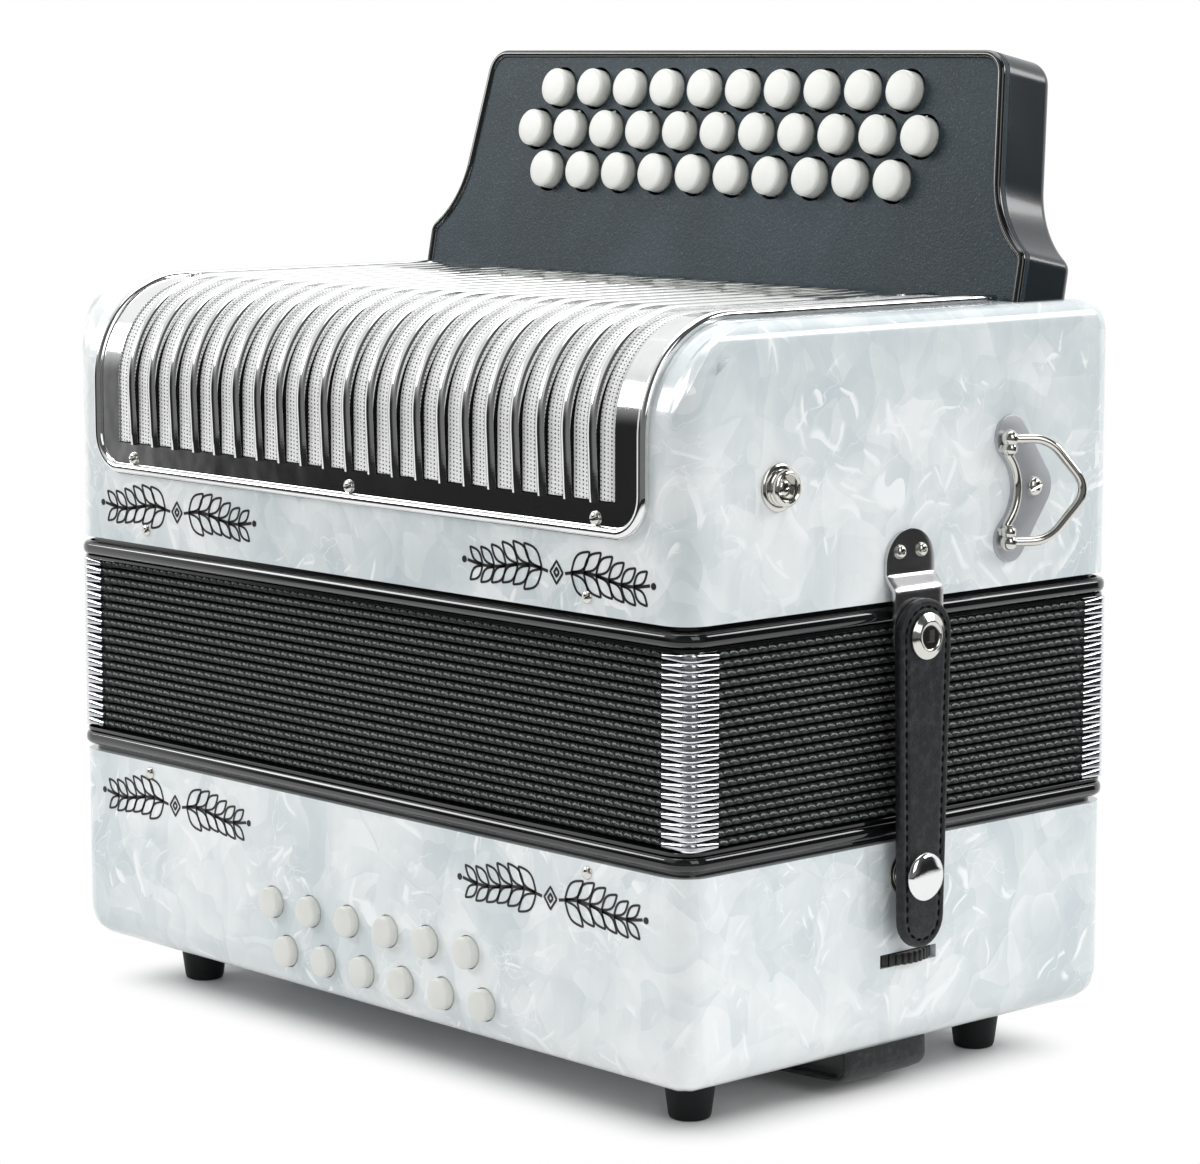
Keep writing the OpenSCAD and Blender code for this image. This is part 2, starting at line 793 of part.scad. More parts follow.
// Strap pivot, snap and parked snap on an end face
pivot_y = -1.8;
pivot_drop = 2.8;
pivot_z = fold_top - pivot_drop;
snap_z = pivot_z - snap_reach;
park_y = pivot_y - snap_reach * sin(park_swing);
park_z = pivot_z - snap_reach * cos(park_swing);
rivet_d = 6;
rivet_head = 15;

// Closure bracket: its top, its width, and its joggle down to the lower plate
bracket_top = treble_z + 22.5;
bracket_w = strap_w - 1.6;
bracket_r = bracket_w * 0.42;
joggle_z = treble_z + 8;
joggle_end = joggle_z - 7;
joggle_bend = joggle_z - 5;
bracket_screw = [4.9, 7.5];
screw_d = 4.4;
screw_h = 1.4;

module closure_bracket() {
    step = strap_stand - bracket_t - seat;
    low = pivot_z - bracket_w / 2;
    // Upper plate, flat on the case
    translate([end_x + seat, pivot_y, 0]) {
        rotate([90, 0, 90]) linear_extrude(bracket_t)
            translate([-bracket_w / 2, joggle_z])
                rounded(bracket_w, bracket_top - joggle_z, 0, 0, bracket_r, bracket_r);
        // Joggle down to the lower plate
        translate([0, bracket_w / 2, 0]) rotate([90, 0, 0]) linear_extrude(bracket_w)
            polygon([[0, joggle_z], [bracket_t, joggle_z], [step + bracket_t, joggle_bend],
                [step + bracket_t, joggle_end], [step, joggle_end], [step, joggle_bend]]);
        // Lower plate behind the strap
        translate([step, 0, 0]) rotate([90, 0, 90]) linear_extrude(bracket_t)
            translate([-bracket_w / 2, low])
                rounded(bracket_w, joggle_end - low, bracket_r, bracket_r, 0, 0);
        // Rivet through the strap
        translate([step, 0, pivot_z]) {
            rod_x(rivet_d, 0, bracket_t + seat + strap_t + 2 * seat + 0.4);
            translate([bracket_t + strap_t + 4 * seat, 0, 0]) rotate([0, 90, 0]) round_head(rivet_head, 1.8);
        }
        for (s = [-1, 1])
            translate([bracket_t + seat, s * bracket_screw[0], joggle_z + bracket_screw[1]])
                rotate([0, 90, 0]) round_head(screw_d, screw_h);
    }
}

// Axis of a ring on the right face, its eyes, and its plate
ring_x = end_x + bracket_t + seat + wire_d / 2 + 1.7;
ring_z = treble_z + ring_up;
eye_d = wire_d + 3.4;
eye_h = 3;

// Ring plate, drawn in (Y, Z) from the axis: a lobe behind each eye, a bulge between them, a hollow in front
plate_lobe = [4.5, eye_span / 2];
lobe_r = 7.3;
plate_bulge = [16, 0];
bulge_r = 8;
plate_hollow = [-8.7, 0];
plate_screw_y = 15.3;

module plate_outline() {
    side = plate_bulge - plate_lobe;
    // Direction of the straight edge's normal, and of the touching point of lobe and hollow
    edge = atan2(side[1], side[0]) + acos((lobe_r - bulge_r) / norm(side));
    touch = atan2(plate_lobe[1] - plate_hollow[1], plate_lobe[0] - plate_hollow[0]);
    hollow_plate_r = norm(plate_lobe - plate_hollow) - lobe_r;
    low_lobe = [plate_lobe[0], -plate_lobe[1]];
    polygon(concat(
        arc(plate_bulge, bulge_r, -edge, edge, 8),
        arc(plate_lobe, lobe_r, edge, 180 + touch, 14),
        arc(plate_hollow, hollow_plate_r, touch - 3, 3 - touch, 12),
        arc(low_lobe, lobe_r, 180 - touch, 360 - edge, 14)));
}

module ring_plate() {
    translate([end_x + seat, ring_y, ring_z]) {
        rotate([90, 0, 90]) linear_extrude(bracket_t) plate_outline();
        for (s = [-1, 1]) translate([0, 0, s * (eye_span / 2 - wire_d / 2 - eye_h / 2 - 0.3)])
            difference() {
                union() {
                    translate([ring_x - end_x - seat, 0, -eye_h / 2]) cylinder(h = eye_h, d = eye_d);
                    translate([0, -eye_d / 2, -eye_h / 2]) cube([ring_x - end_x - seat, eye_d, eye_h]);
                }
                translate([ring_x - end_x - seat, 0, -eye_h])
                    cylinder(h = 2 * eye_h, d = wire_d + 2 * axle_gap);
            }
        translate([bracket_t + seat, plate_screw_y, 0]) rotate([0, 90, 0]) round_head(screw_d, screw_h);
    }
}

// Screws of the grille on its flat border
module grille_screws() {
    low = treble_z + grille_low + rim_w + 2.8;
    side = grille_l / 2 - rim_w - 2.4;
    corner = grille_l / 2 - 1.6 * grille_r;
    for (x = [-corner, 0, corner])
        translate([x, front_y - grille_t - seat, low]) rotate([90, 0, 0]) round_head(pin_d, pin_h);
    for (s = [-1, 1]) for (y = [front_y + front_r + 4, grille_back - rim_w - 3])
        translate([s * side, y, treble_top + grille_t + seat]) round_head(pin_d * 0.9, pin_h);
}

module treble_fittings() {
    color("silver") {
        both_ends() {
            closure_bracket();
            ring_plate();
            press_stud(park_y, park_z);
        }
        case_pins(treble_z + 5.2);
        grille_screws();
    }
}

module bass_fittings() {
    plate_l = 14;
    plate_t = 1.5;
    plate_x = end_x - hand_end - hand_loop - plate_l - seat;
    color("silver") {
        both_ends() press_stud(pivot_y, snap_z);
        case_pins(bass_top - 3.8);
        // Threaded rod of the strap wheel, standing on the case floor
        translate([wheel_x, wheel_y, bass_z + case_wall]) {
            cylinder(h = bass_board_z - bass_z - case_wall, d = rod_d);
            cylinder(h = 2, d = 1.4 * rod_d);
        }
        // Plates that hold the hand strap's ends under the case
        both_ends() translate([plate_x, hand_y - hand_end_w / 4, bass_z - seat - plate_t])
            cube([plate_l, hand_end_w / 2, plate_t]);
    }
}

module closure_straps() {
    r1 = strap_w / 2;
    r2 = strap_tip_w / 2;
    straight = snap_reach + strap_tip - r2;
    socket_x = end_x + strap_stand;
    both_ends() translate([0, pivot_y, pivot_z]) {
        color([0.12, 0.12, 0.12]) translate([socket_x, 0, 0]) difference() {
            rotate([90, 0, 90]) linear_extrude(strap_t) {
                circle(r1);
                translate([0, -straight]) circle(r2);
                polygon([[-r1, 0], [-r2, -straight], [r2, -straight], [r1, 0]]);
            }
            rod_x(rivet_d + 2 * axle_gap, -over, strap_t + over);
        }
        color("silver") translate([socket_x + strap_t + seat, 0, -snap_reach])
            rotate([0, 90, 0]) round_head(snap_d, 2.4);
    }
}

// Piece of ring wire between two points of the ring's plane (reach, z), with a ball at the second
module ring_rod(a, b) {
    d = b - a;
    translate([a[0], 0, a[1]]) rotate([0, 90 - atan2(d[1], d[0]), 0]) cylinder(h = norm(d), d = wire_d);
    translate([b[0], 0, b[1]]) sphere(d = wire_d + seat);
}

// Ring on the right face, turned about its upright axis
module strap_ring() {
    h = eye_span / 2;
    pin = wire_d / 2 + eye_h + 0.9;
    points = [[0, h - pin], [0, h], [ring_leg, h], [ring_reach, 0], [ring_leg, -h], [0, -h]];
    color("silver") translate([ring_x, ring_y, ring_z]) rotate([0, 0, 90 - ring_angle]) {
        for (i = [0:4]) ring_rod(points[i], points[i + 1]);
        translate([0, 0, -h]) cylinder(h = pin, d = wire_d);
    }
}

module strap_ring_right() { strap_ring(); }
module strap_ring_left() { mirror([1, 0, 0]) strap_ring(); }

// ---- Nodes ----

treble_case();
treble_grille();
fingerboard();
treble_soundboard();
treble_frame();
treble_fittings();
bellows();
bass_frame();
bass_case();
bass_soundboard();
bass_fittings();
feet();
hand_strap();
strap_wheel();
closure_straps();
strap_ring_right();
strap_ring_left();
for (i = [0:30])
    treble_button(treble_keys[i]);
for (i = [0:11])
    bass_button(bass_positions[i]);
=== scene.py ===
import bpy, bmesh
from math import acos, asin, atan2, copysign, cos, degrees, exp, hypot, pi, radians, sin, sqrt, tan, tau
from mathutils import Matrix, Vector


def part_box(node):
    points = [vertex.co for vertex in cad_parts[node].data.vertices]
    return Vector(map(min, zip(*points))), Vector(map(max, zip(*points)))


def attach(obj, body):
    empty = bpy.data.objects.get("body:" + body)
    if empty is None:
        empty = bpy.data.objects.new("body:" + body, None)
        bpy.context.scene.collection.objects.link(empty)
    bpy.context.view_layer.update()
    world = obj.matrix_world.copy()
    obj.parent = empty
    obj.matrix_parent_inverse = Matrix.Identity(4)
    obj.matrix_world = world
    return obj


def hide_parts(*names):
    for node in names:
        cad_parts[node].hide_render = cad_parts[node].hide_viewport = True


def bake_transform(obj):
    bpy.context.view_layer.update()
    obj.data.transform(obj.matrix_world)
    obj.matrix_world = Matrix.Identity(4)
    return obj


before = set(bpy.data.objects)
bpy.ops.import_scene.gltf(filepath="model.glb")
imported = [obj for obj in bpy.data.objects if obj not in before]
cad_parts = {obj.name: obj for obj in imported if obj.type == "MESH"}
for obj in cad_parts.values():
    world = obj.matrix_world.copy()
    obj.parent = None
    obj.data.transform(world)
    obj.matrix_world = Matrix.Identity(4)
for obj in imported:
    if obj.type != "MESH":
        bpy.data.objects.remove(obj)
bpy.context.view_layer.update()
scene = bpy.context.scene
mm = 0.001


def boxOf(node):                                   # a node's two corners, in millimetres
    low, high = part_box(node)
    return Vector(low) / mm, Vector(high) / mm


bassLow, bassHigh = boxOf("bass_case")
trebleLow, trebleHigh = boxOf("treble_case")
endX, frontY, backY = trebleHigh.x, trebleLow.y, trebleHigh.y
caseL, caseD = 2 * endX, backY - frontY
foldLow, foldHigh = boxOf("bass_frame")[1].z, boxOf("treble_frame")[0].z

# ---- Materials ----


class Value:                                       # a node's socket, with arithmetic
    def __init__(self, nodes, socket):
        self.nodes, self.socket = nodes, socket

    def math(self, operation, *others):
        return self.nodes.node("ShaderNodeMath", {"operation": operation}, self, *others)

    def __add__(self, other):
        return self.math("ADD", other)

    def __sub__(self, other):
        return self.math("SUBTRACT", other)

    def __rsub__(self, other):
        return self.math("MULTIPLY_ADD", -1.0, other)

    def __mul__(self, other):
        return self.math("MULTIPLY", other)

    def __pow__(self, other):
        return self.math("POWER", other)

    __radd__, __rmul__ = __add__, __mul__

    def step(self, low, high):                     # 0 below low, 1 above high, smooth between
        return self.nodes.node("ShaderNodeMapRange", {"interpolation_type": "SMOOTHSTEP"}, self, low, high)

    def sine(self, turns=1.0):                     # from 0 to 1, with so many turns for each unit
        return (self * (tau * turns)).math("SINE") * 0.5 + 0.5

    def size(self):
        return self.math("ABSOLUTE")

    def line(self, width):                         # 1 where the value is 0, down to 0 at so far from it
        return 1 - self.size().step(0.0, width)


class Nodes:
    def __init__(self, tree):
        self.tree = tree

    def join(self, socket, value):
        if isinstance(value, Value):
            self.tree.links.new(value.socket, socket)
        else:
            socket.default_value = value

    def node(self, kind, settings={}, *values, out=0, **named):
        made = self.tree.nodes.new(kind)
        for key, value in settings.items():
            if key == "stops":
                ramp = made.color_ramp.elements
                while len(ramp) < len(value):
                    ramp.new(0.5)
                for stop, (at, shade) in zip(ramp, value):
                    stop.position, stop.color = at, tone(shade)
            else:
                setattr(made, key, value)
        for socket, value in zip(made.inputs, values):
            self.join(socket, value)
        for key, value in named.items():
            self.join(made.inputs[key.replace("_", " ")], value)
        return Value(self, made.outputs[out])

    def split(self, vector, axis):
        return self.node("ShaderNodeSeparateXYZ", {}, vector, out=axis)

    def vector(self, operation, a, b=(0, 0, 0), out=0):
        return self.node("ShaderNodeVectorMath", {"operation": operation}, a, b, out=out)

    def mix(self, share, a, b):
        made = self.tree.nodes.new("ShaderNodeMix")
        made.data_type = "RGBA"
        for index, value in ((0, share), (6, a), (7, b)):
            self.join(made.inputs[index], value if isinstance(value, Value) or index == 0 else tone(value))
        return Value(self, made.outputs[2])


class Finish(Nodes):
    def __init__(self, name, **plain):
        self.material = bpy.data.materials.new(name)
        self.material.use_nodes = True
        super().__init__(self.material.node_tree)
        self.shader = self.tree.nodes["Principled BSDF"]
        for socket, number in plain.items():
            self.set(socket, number)
        self.place = self.node("ShaderNodeTexCoord", out="Object")

    def noise(self, size, detail=3.0, rough=0.5, at=None, out=0):      # size of a feature, in millimetres
        return self.node("ShaderNodeTexNoise", Vector=at or self.place, Scale=1 / (size * mm), Detail=detail,
                         Roughness=rough, out=out)

    def cells(self, size, out="Distance", at=None, feature="F1"):
        return self.node("ShaderNodeTexVoronoi", {"feature": feature}, Vector=at or self.place,
                         Scale=1 / (size * mm), out=out)

    def stretched(self, x, y, z):
        return self.node("ShaderNodeMapping", Vector=self.place, Scale=(x, y, z))

    def set(self, socket, value):
        name = {"color": "Base Color", "rough": "Roughness", "metal": "Metallic", "sheen": "Sheen Weight",
                "coat": "Coat Weight", "coatRough": "Coat Roughness", "specular": "Specular IOR Level"}[socket]
        self.join(self.shader.inputs[name], value)

    def bump(self, height, depth, strength=1.0):   # height from 0 to 1, depth in millimetres
        made = self.node("ShaderNodeBump", Height=height, Distance=depth * mm, Strength=strength)
        self.join(self.shader.inputs["Normal"], made)


def tone(shade):
    if isinstance(shade, (int, float)):
        shade = (shade, shade, shade)
    return tuple(shade[:3]) + (1.0,)


def pearlFinish():                                 # celluloid with soft clouds and slivers of bright foil
    f = Finish("pearlSheet", coat=0.5, coatRough=0.04)
    look = {"shade": (0.61, 0.685, 0.715), "light": (0.93, 0.96, 0.96), "foil": (0.96, 0.99, 1.0)}
    bend = f.vector("SUBTRACT", f.noise(30, 1.5, 0.5, out="Color"), (0.5, 0.5, 0.5))
    at = f.vector("ADD", f.place, f.vector("MULTIPLY", bend, (0.026, 0.026, 0.026)))
    clouds, slivers = f.noise(55, 1.5, at=at).step(0.30, 0.66) * 0.40, 0.0
    for size, share, length, width in ((30, 0.26, 0.55, 0.026), (17, 0.26, 0.60, 0.030), (9, 0.12, 0.62, 0.04)):
        heart, code = f.cells(size, "Position", at), f.cells(size, "Color", at)
        way = f.vector("NORMALIZE", f.vector("SUBTRACT", code, (0.5, 0.5, 0.5)))
        offset = f.vector("SUBTRACT", at, heart)
        across = f.vector("DOT_PRODUCT", offset, way, out="Value") * (1 / (size * mm))
        far = f.vector("LENGTH", offset, out="Value") * (1 / (size * mm))
        own = f.split(code, 0)
        clouds = ((across + 0.5).step(0.0, 1.0) * 0.7 + own * 0.3) * share + clouds
        sliver = across.step(-width * 0.2, width * 0.2) * (1 - across.step(0.0, width * 5))
        sliver = sliver * (1 - far.step(length * 0.4, length))
        slivers = sliver * own.step(0.30, 0.50) + slivers
    crease = (f.noise(24, 3, 0.5, at=at) - 0.5).line(0.008) + (f.noise(40, 3, 0.5, at=at) - 0.5).line(0.005)
    cluster = f.noise(36, 2).step(0.42, 0.56)
    silk = f.noise(3.5, 4, 0.65, at=f.stretched(1, 1, 0.25))
    foil = (slivers * 1.25 + crease * 0.45) * (cluster * 0.85 + 0.15) * (silk * 1.3 + 0.3)
    share = (clouds + silk * 0.16 - 0.10).step(0.0, 0.95)
    f.set("color", f.mix(foil.step(0.02, 0.75), f.mix(share, look["shade"], look["light"]), look["foil"]))
    f.set("rough", 0.13 + f.noise(30, 2) * 0.08)
    return f.material


def metalFinish(name, shade, rough, grain=0.0, wave=0.0):
    f = Finish(name, metal=1.0)
    smudge = f.noise(16, 4, 0.6).step(0.35, 0.8)
    f.set("color", f.mix(smudge, shade, tuple(c * 0.9 for c in shade)))
    f.set("rough", rough + smudge * 0.05 + f.noise(0.8, 2) * grain)
    f.bump(f.noise(1.5, 3, at=f.stretched(1, 1, 4)) * 0.004 + f.noise(20, 2) * wave, 1.0, 1.0)
    return f.material


def blackFinish(name, shade, rough, pebble, depth, coat=0.0, speck=0.0, specular=0.5):
    f = Finish(name, coat=coat, coatRough=0.08)
    grain = f.cells(pebble, feature="SMOOTH_F1")
    haze = f.noise(60, 2)
    # where speck is set, specks are painted lighter and glossier: the plate's own flecks, and painted sparkle on the
    # grain
    light = f.noise(pebble * 0.9, 3, 0.7).step(0.50, 0.78) * speck
    f.set("color", f.mix(light + haze.step(0.4, 0.7) * 0.3, shade, tuple(c * 3 + 0.01 for c in shade)))
    f.set("rough", rough + haze * 0.08 - light * 0.2)
    f.bump(grain + f.noise(pebble * 3, 3) * 0.5, depth, 0.7)
    f.set("specular", specular)
    return f.material


def leatherFinish():
    f = Finish("blackLeather", specular=0.4)
    grain = f.cells(0.9, "Distance", feature="DISTANCE_TO_EDGE")
    crease = f.noise(2.5, 5, 0.65)
    f.set("color", f.mix(crease.step(0.40, 0.75), (0.006, 0.007, 0.008), (0.027, 0.032, 0.037)))
    f.set("rough", 0.30 + crease * 0.22)
    f.bump(grain.step(0.0, 0.25) * 0.6 + crease * 0.6, 0.12, 0.6)
    return f.material


def ivoryFinish():
    f = Finish("ivoryButton", coat=0.2, coatRough=0.2)
    cloud = f.noise(9, 3)
    f.set("color", f.mix(cloud.step(0.3, 0.75), (0.77, 0.78, 0.735), (0.81, 0.82, 0.78)))
    f.set("rough", 0.3 + cloud * 0.1)
    f.bump(f.noise(0.6, 3), 0.02, 0.25)
    return f.material


def woodFinish():
    f = Finish("paleWood")
    ring = f.noise(6, 4, 0.6, at=f.stretched(0.06, 1, 1))
    pore = f.noise(0.7, 2, at=f.stretched(0.04, 1, 1)).step(0.55, 0.75)
    f.set("color", f.mix(ring.step(0.3, 0.7), (0.52, 0.36, 0.19), (0.66, 0.48, 0.28)))
    f.set("rough", 0.5 + pore * 0.2)
    f.bump(ring - pore * 0.3, 0.08, 0.4)
    return f.material


def foldFinish(name, light):
    f = Finish(name)
    thread = f.noise(0.55, 3, 0.7)
    worn = f.noise(5, 3, 0.6).step(0.4, 0.75)
    f.set("color", f.mix(thread.step(0.5, 0.8) * 0.7 + worn * 0.3, (0.008, 0.009, 0.009), light))
    f.set("rough", 0.42 + thread * 0.25)
    f.bump(thread + f.noise(1.6, 3), 0.12, 0.7)
    return f.material


folds = {"count": 20, "inset": 2.8, "insetEnd": 1.0, "radius": 3.0, "lump": 4.1, "lumpDeep": 0.55, "stops": 6,
         "slant": 0.2}


def tapeFinish():                                  # U counts the tape's lumps, V is the height in millimetres; the lumps carry painted highlights, with painted shade between them
    f = Finish("foldTape", specular=0.3)
    uv = f.node("ShaderNodeTexCoord", out="UV")
    fine = f.noise(0.5, 3, 0.7)
    height = f.split(uv, 1)
    along = (f.split(uv, 0) + height * folds["slant"] + fine * 0.20).math("FRACT")
    swell = (along - 0.55).line(0.55)
    crestHighlight = (height - 0.62 * swell - 0.02).line(0.36) * swell.step(0.05, 0.5)
    tickHighlight = (along - 0.93).line(0.09) * height.step(-0.9, 0.2)
    thready = fine.step(0.38, 0.62)
    # painted light: a highlight on each lump's crest and a light tick at its end, the lump body painted lighter and
    # the gaps left dark as painted shade, all grained by the thread noise
    light = (crestHighlight * 1.1 + tickHighlight * 0.6) * (thready * 0.9 + 0.25) + swell * (thready * 0.3 + 0.03)
    f.set("color", f.mix(light.step(0.0, 1.05), (0.009, 0.010, 0.010), (0.34, 0.37, 0.365)))
    f.set("rough", 0.5 + fine * 0.25)
    f.bump(fine + swell, 0.25, 0.8)
    return f.material


def clothFinish():                                 # woven mesh, on the piece's own UV in millimetres
    f = Finish("silverMesh", sheen=0.1)
    uv = f.node("ShaderNodeTexCoord", out="UV")
    across, along = f.split(uv, 0), f.split(uv, 1)
    weft, warp = across.sine(1 / weave["across"]), (along + across * 0.12).sine(1 / weave["along"])
    pair = across.sine(0.5 / weave["across"]) * 0.25 + 0.75
    hole = (weft * warp * pair + f.noise(0.8, 2) * 0.2).step(0.54, 0.78)
    yarn = across.sine(2 / weave["across"]) + along.sine(2 / weave["along"])
    # the holes are painted dark: painted shade of the dark inside of the case, seen through the weave
    f.set("color", f.mix(hole, (0.985, 0.99, 0.99), (0.10, 0.11, 0.115)))
    f.set("rough", 0.42 + hole * 0.3)
    f.bump(yarn * 0.25 - hole, 0.35, 0.8)
    return f.material


weave = {"across": 1.6, "along": 1.3}
pearl = pearlFinish()
chrome = metalFinish("chromePlate", (0.88, 0.885, 0.885), 0.06, wave=0.12)
nickel = metalFinish("nickelPlate", (0.72, 0.71, 0.67), 0.10)
satin = metalFinish("satinNickel", (0.60, 0.62, 0.655), 0.42, 0.1)
foldMetal = metalFinish("foldCorner", (0.80, 0.81, 0.84), 0.14)
lacquer = blackFinish("blackLacquer", (0.004, 0.0045, 0.005), 0.02, 6, 0.006, coat=0.6)
housing = blackFinish("blackHousing", (0.015, 0.020, 0.024), 0.20, 0.9, 0.012, coat=0.2)
# the grained plate's light specks are partly painted sparkle
plateBlack = blackFinish("grainedPlate", (0.020, 0.032, 0.040), 0.42, 0.7, 0.09, speck=0.9, specular=0.2)
rubber = blackFinish("footRubber", (0.006, 0.007, 0.0075), 0.5, 1.2, 0.05, specular=0.2)
plastic = blackFinish("wheelPlastic", (0.010, 0.010, 0.011), 0.35, 1.0, 0.02)
inkBlack = blackFinish("ornamentInk", (0.006, 0.006, 0.006), 0.3, 2, 0.01)
bracketPlate = metalFinish("bracketPlate", (0.66, 0.66, 0.67), 0.20)
# near-black finish for the fins' edge walls: painted shade for the gap under each fin
paintedGapShade = blackFinish("paintedGapShade", (0.002, 0.002, 0.002), 0.6, 2, 0.01, specular=0.1)
leather = leatherFinish()
ivory = ivoryFinish()
wood = woodFinish()
foldTape = tapeFinish()
foldCard = foldFinish("foldCard", (0.02, 0.02, 0.022))
thread = blackFinish("seamThread", (0.002, 0.002, 0.0025), 0.5, 0.4, 0.05, specular=0.05)
meshCloth = clothFinish()
alloy = metalFinish("leverAlloy", (0.72, 0.72, 0.73), 0.3, 0.1)
felt = foldFinish("palletFelt", (0.16, 0.03, 0.03))
print("materials ready")

# ---- Mesh helpers, in millimetres ----


def piece(name, bm, body, finishes, hides=(), sharp=40):
    bmesh.ops.remove_doubles(bm, verts=bm.verts, dist=0.0005)
    bmesh.ops.recalc_face_normals(bm, faces=bm.faces)
    bmesh.ops.scale(bm, vec=(mm, mm, mm), verts=bm.verts)
    mesh = bpy.data.meshes.new(name)
    bm.to_mesh(mesh)
    bm.free()
    for finish in finishes:
        mesh.materials.append(finish)
    mesh.shade_smooth()
    mesh.set_sharp_from_angle(angle=radians(sharp))
    made = bpy.data.objects.new(name, mesh)
    scene.collection.objects.link(made)
    if body:
        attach(made, body)
    if hides:
        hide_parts(*hides)
    return made


def whole(bm):
    return bm.verts[:] + bm.edges[:] + bm.faces[:]


def shift(x, y, z):
    return Matrix.Translation((x, y, z))


def moved(bm, matrix):
    bmesh.ops.transform(bm, matrix=matrix, verts=bm.verts)
    return bm


def rounded(bm, edges, width, segments):
    bmesh.ops.bevel(bm, geom=edges, offset=width, segments=segments, affect="EDGES", profile=0.5, material=-1)


def edgesAt(bm, z):                                # the edges that lie at one height
    return [e for e in bm.edges if all(abs(v.co.z - z) < 1e-4 for v in e.verts)]


def capped(bm):
    bmesh.ops.holes_fill(bm, edges=[e for e in bm.edges if e.is_boundary], sides=0)
    return bm


def raised(bm, height):                            # every face pulled up; gives the vertices that moved
    made = bmesh.ops.extrude_face_region(bm, geom=bm.faces[:])["geom"]
    top = [v for v in made if isinstance(v, bmesh.types.BMVert)]
    bmesh.ops.translate(bm, vec=(0, 0, height), verts=top)
    return top


def put(bm, part, at=Matrix(), finish=0, copies=((0, 0, 0),)):      # finish None keeps the part's own
    for face in part.faces if finish is not None else ():
        face.material_index = finish
    for place in copies:
        mesh = bpy.data.meshes.new("part")
        part.to_mesh(mesh)
        mesh.transform(Matrix.Translation(place) @ at)
        bm.from_mesh(mesh)
        bpy.data.meshes.remove(mesh)
    part.free()


def turned(profile, steps=32):                     # (radius, height) pairs spun about Z
    bm = bmesh.new()
    verts = [bm.verts.new((r, 0, h)) for r, h in profile]
    edges = [bm.edges.new(pair) for pair in zip(verts, verts[1:])]
    bmesh.ops.spin(bm, geom=verts + edges, cent=(0, 0, 0), axis=(0, 0, 1), angle=tau, steps=steps,
                   use_merge=True)
    bmesh.ops.remove_doubles(bm, verts=bm.verts, dist=0.0005)
    bmesh.ops.recalc_face_normals(bm, faces=bm.faces)
    return bm


def rod(r, low, high, steps=32):
    return turned([(0, low), (r, low), (r, high), (0, high)], steps)


def slab(outline, low, high, bevel=0.0, segments=3, keepBack=True):
    bm = bmesh.new()
    bm.faces.new([bm.verts.new((x, y, low)) for x, y in outline])
    raised(bm, high - low)
    bmesh.ops.recalc_face_normals(bm, faces=bm.faces)
    if bevel:
        rounded(bm, edgesAt(bm, high) + ([] if keepBack else edgesAt(bm, low)), bevel, segments)
    return bm


def block(low, high, bevel=0.0):
    bm = bmesh.new()
    low, high = Vector(low), Vector(high)
    size = Matrix.Diagonal([*(high - low), 1])
    bmesh.ops.create_cube(bm, size=1, matrix=Matrix.Translation((low + high) / 2) @ size)
    if bevel:
        rounded(bm, bm.edges[:], bevel, 2)
    return bm


def gridPiece(across, along, place, uv=None):      # a grid bent by place(column, row)
    bm = bmesh.new()
    layer = bm.loops.layers.uv.new("UVMap") if uv else None
    bmesh.ops.create_grid(bm, x_segments=across, y_segments=along, size=0.5)
    stops = {v: (round((v.co.x + 0.5) * across), round((v.co.y + 0.5) * along)) for v in bm.verts}
    for loop in [loop for face in bm.faces for loop in face.loops] if uv else ():
        loop[layer].uv = uv(*stops[loop.vert])
    for vert, stop in stops.items():
        vert.co = place(*stop)
    bmesh.ops.remove_doubles(bm, verts=bm.verts, dist=0.0005)
    return bm


def heading(angle):                                # a direction from its angle in degrees
    return cos(radians(angle)), sin(radians(angle))


def arcPoints(cx, cy, r, a0, a1, count):
    ways = (heading(a0 + (a1 - a0) * i / count) for i in range(count + 1))
    return [(cx + r * c, cy + r * s) for c, s in ways]


def squared(share, power):                         # a sine or cosine, for a slightly square circle
    return copysign(abs(share) ** power, share)


def planPath(length, depth, radius, count=6):      # stations round a plan: (x, y, outward x, outward y)
    path = []
    for quarter, (sx, sy) in enumerate(((1, 1), (-1, 1), (-1, -1), (1, -1))):
        cx, cy = sx * (length / 2 - radius), sy * (depth / 2 - radius)
        for i in range(count + 1):
            c, s = heading(90 * (quarter + i / count))
            path.append((cx + radius * c, cy + radius * s, c, s))
    return path + path[:1]


def ringPiece(path, profile, wobble=None, uv=None):   # sweeps (outward, height) pairs round a path
    def place(i, k):
        x, y, nx, ny = path[i]
        out, z = wobble(i, *profile[k]) if wobble else profile[k]
        return (x + nx * out, y + ny * out, z)
    return gridPiece(len(path) - 1, len(profile) - 1, place, uv)


def linked(bm):
    mesh = bpy.data.meshes.new("work")
    bm.to_mesh(mesh)
    bm.free()
    made = bpy.data.objects.new("work", mesh)
    scene.collection.objects.link(made)
    return made


def settled(made):                                 # the mesh after its modifiers
    bpy.context.view_layer.update()
    mesh = bpy.data.meshes.new_from_object(made.evaluated_get(bpy.context.evaluated_depsgraph_get()))
    bm = bmesh.new()
    bm.from_mesh(mesh)
    bpy.data.meshes.remove(mesh)
    bpy.data.objects.remove(made)
    return bm


def cut(bm, tool):
    body, cutter = linked(bm), linked(tool)
    step = body.modifiers.new("cut", "BOOLEAN")
    step.object, step.operation, step.solver = cutter, "DIFFERENCE", "EXACT"
    bm = settled(body)
    bpy.data.objects.remove(cutter)
    return bm


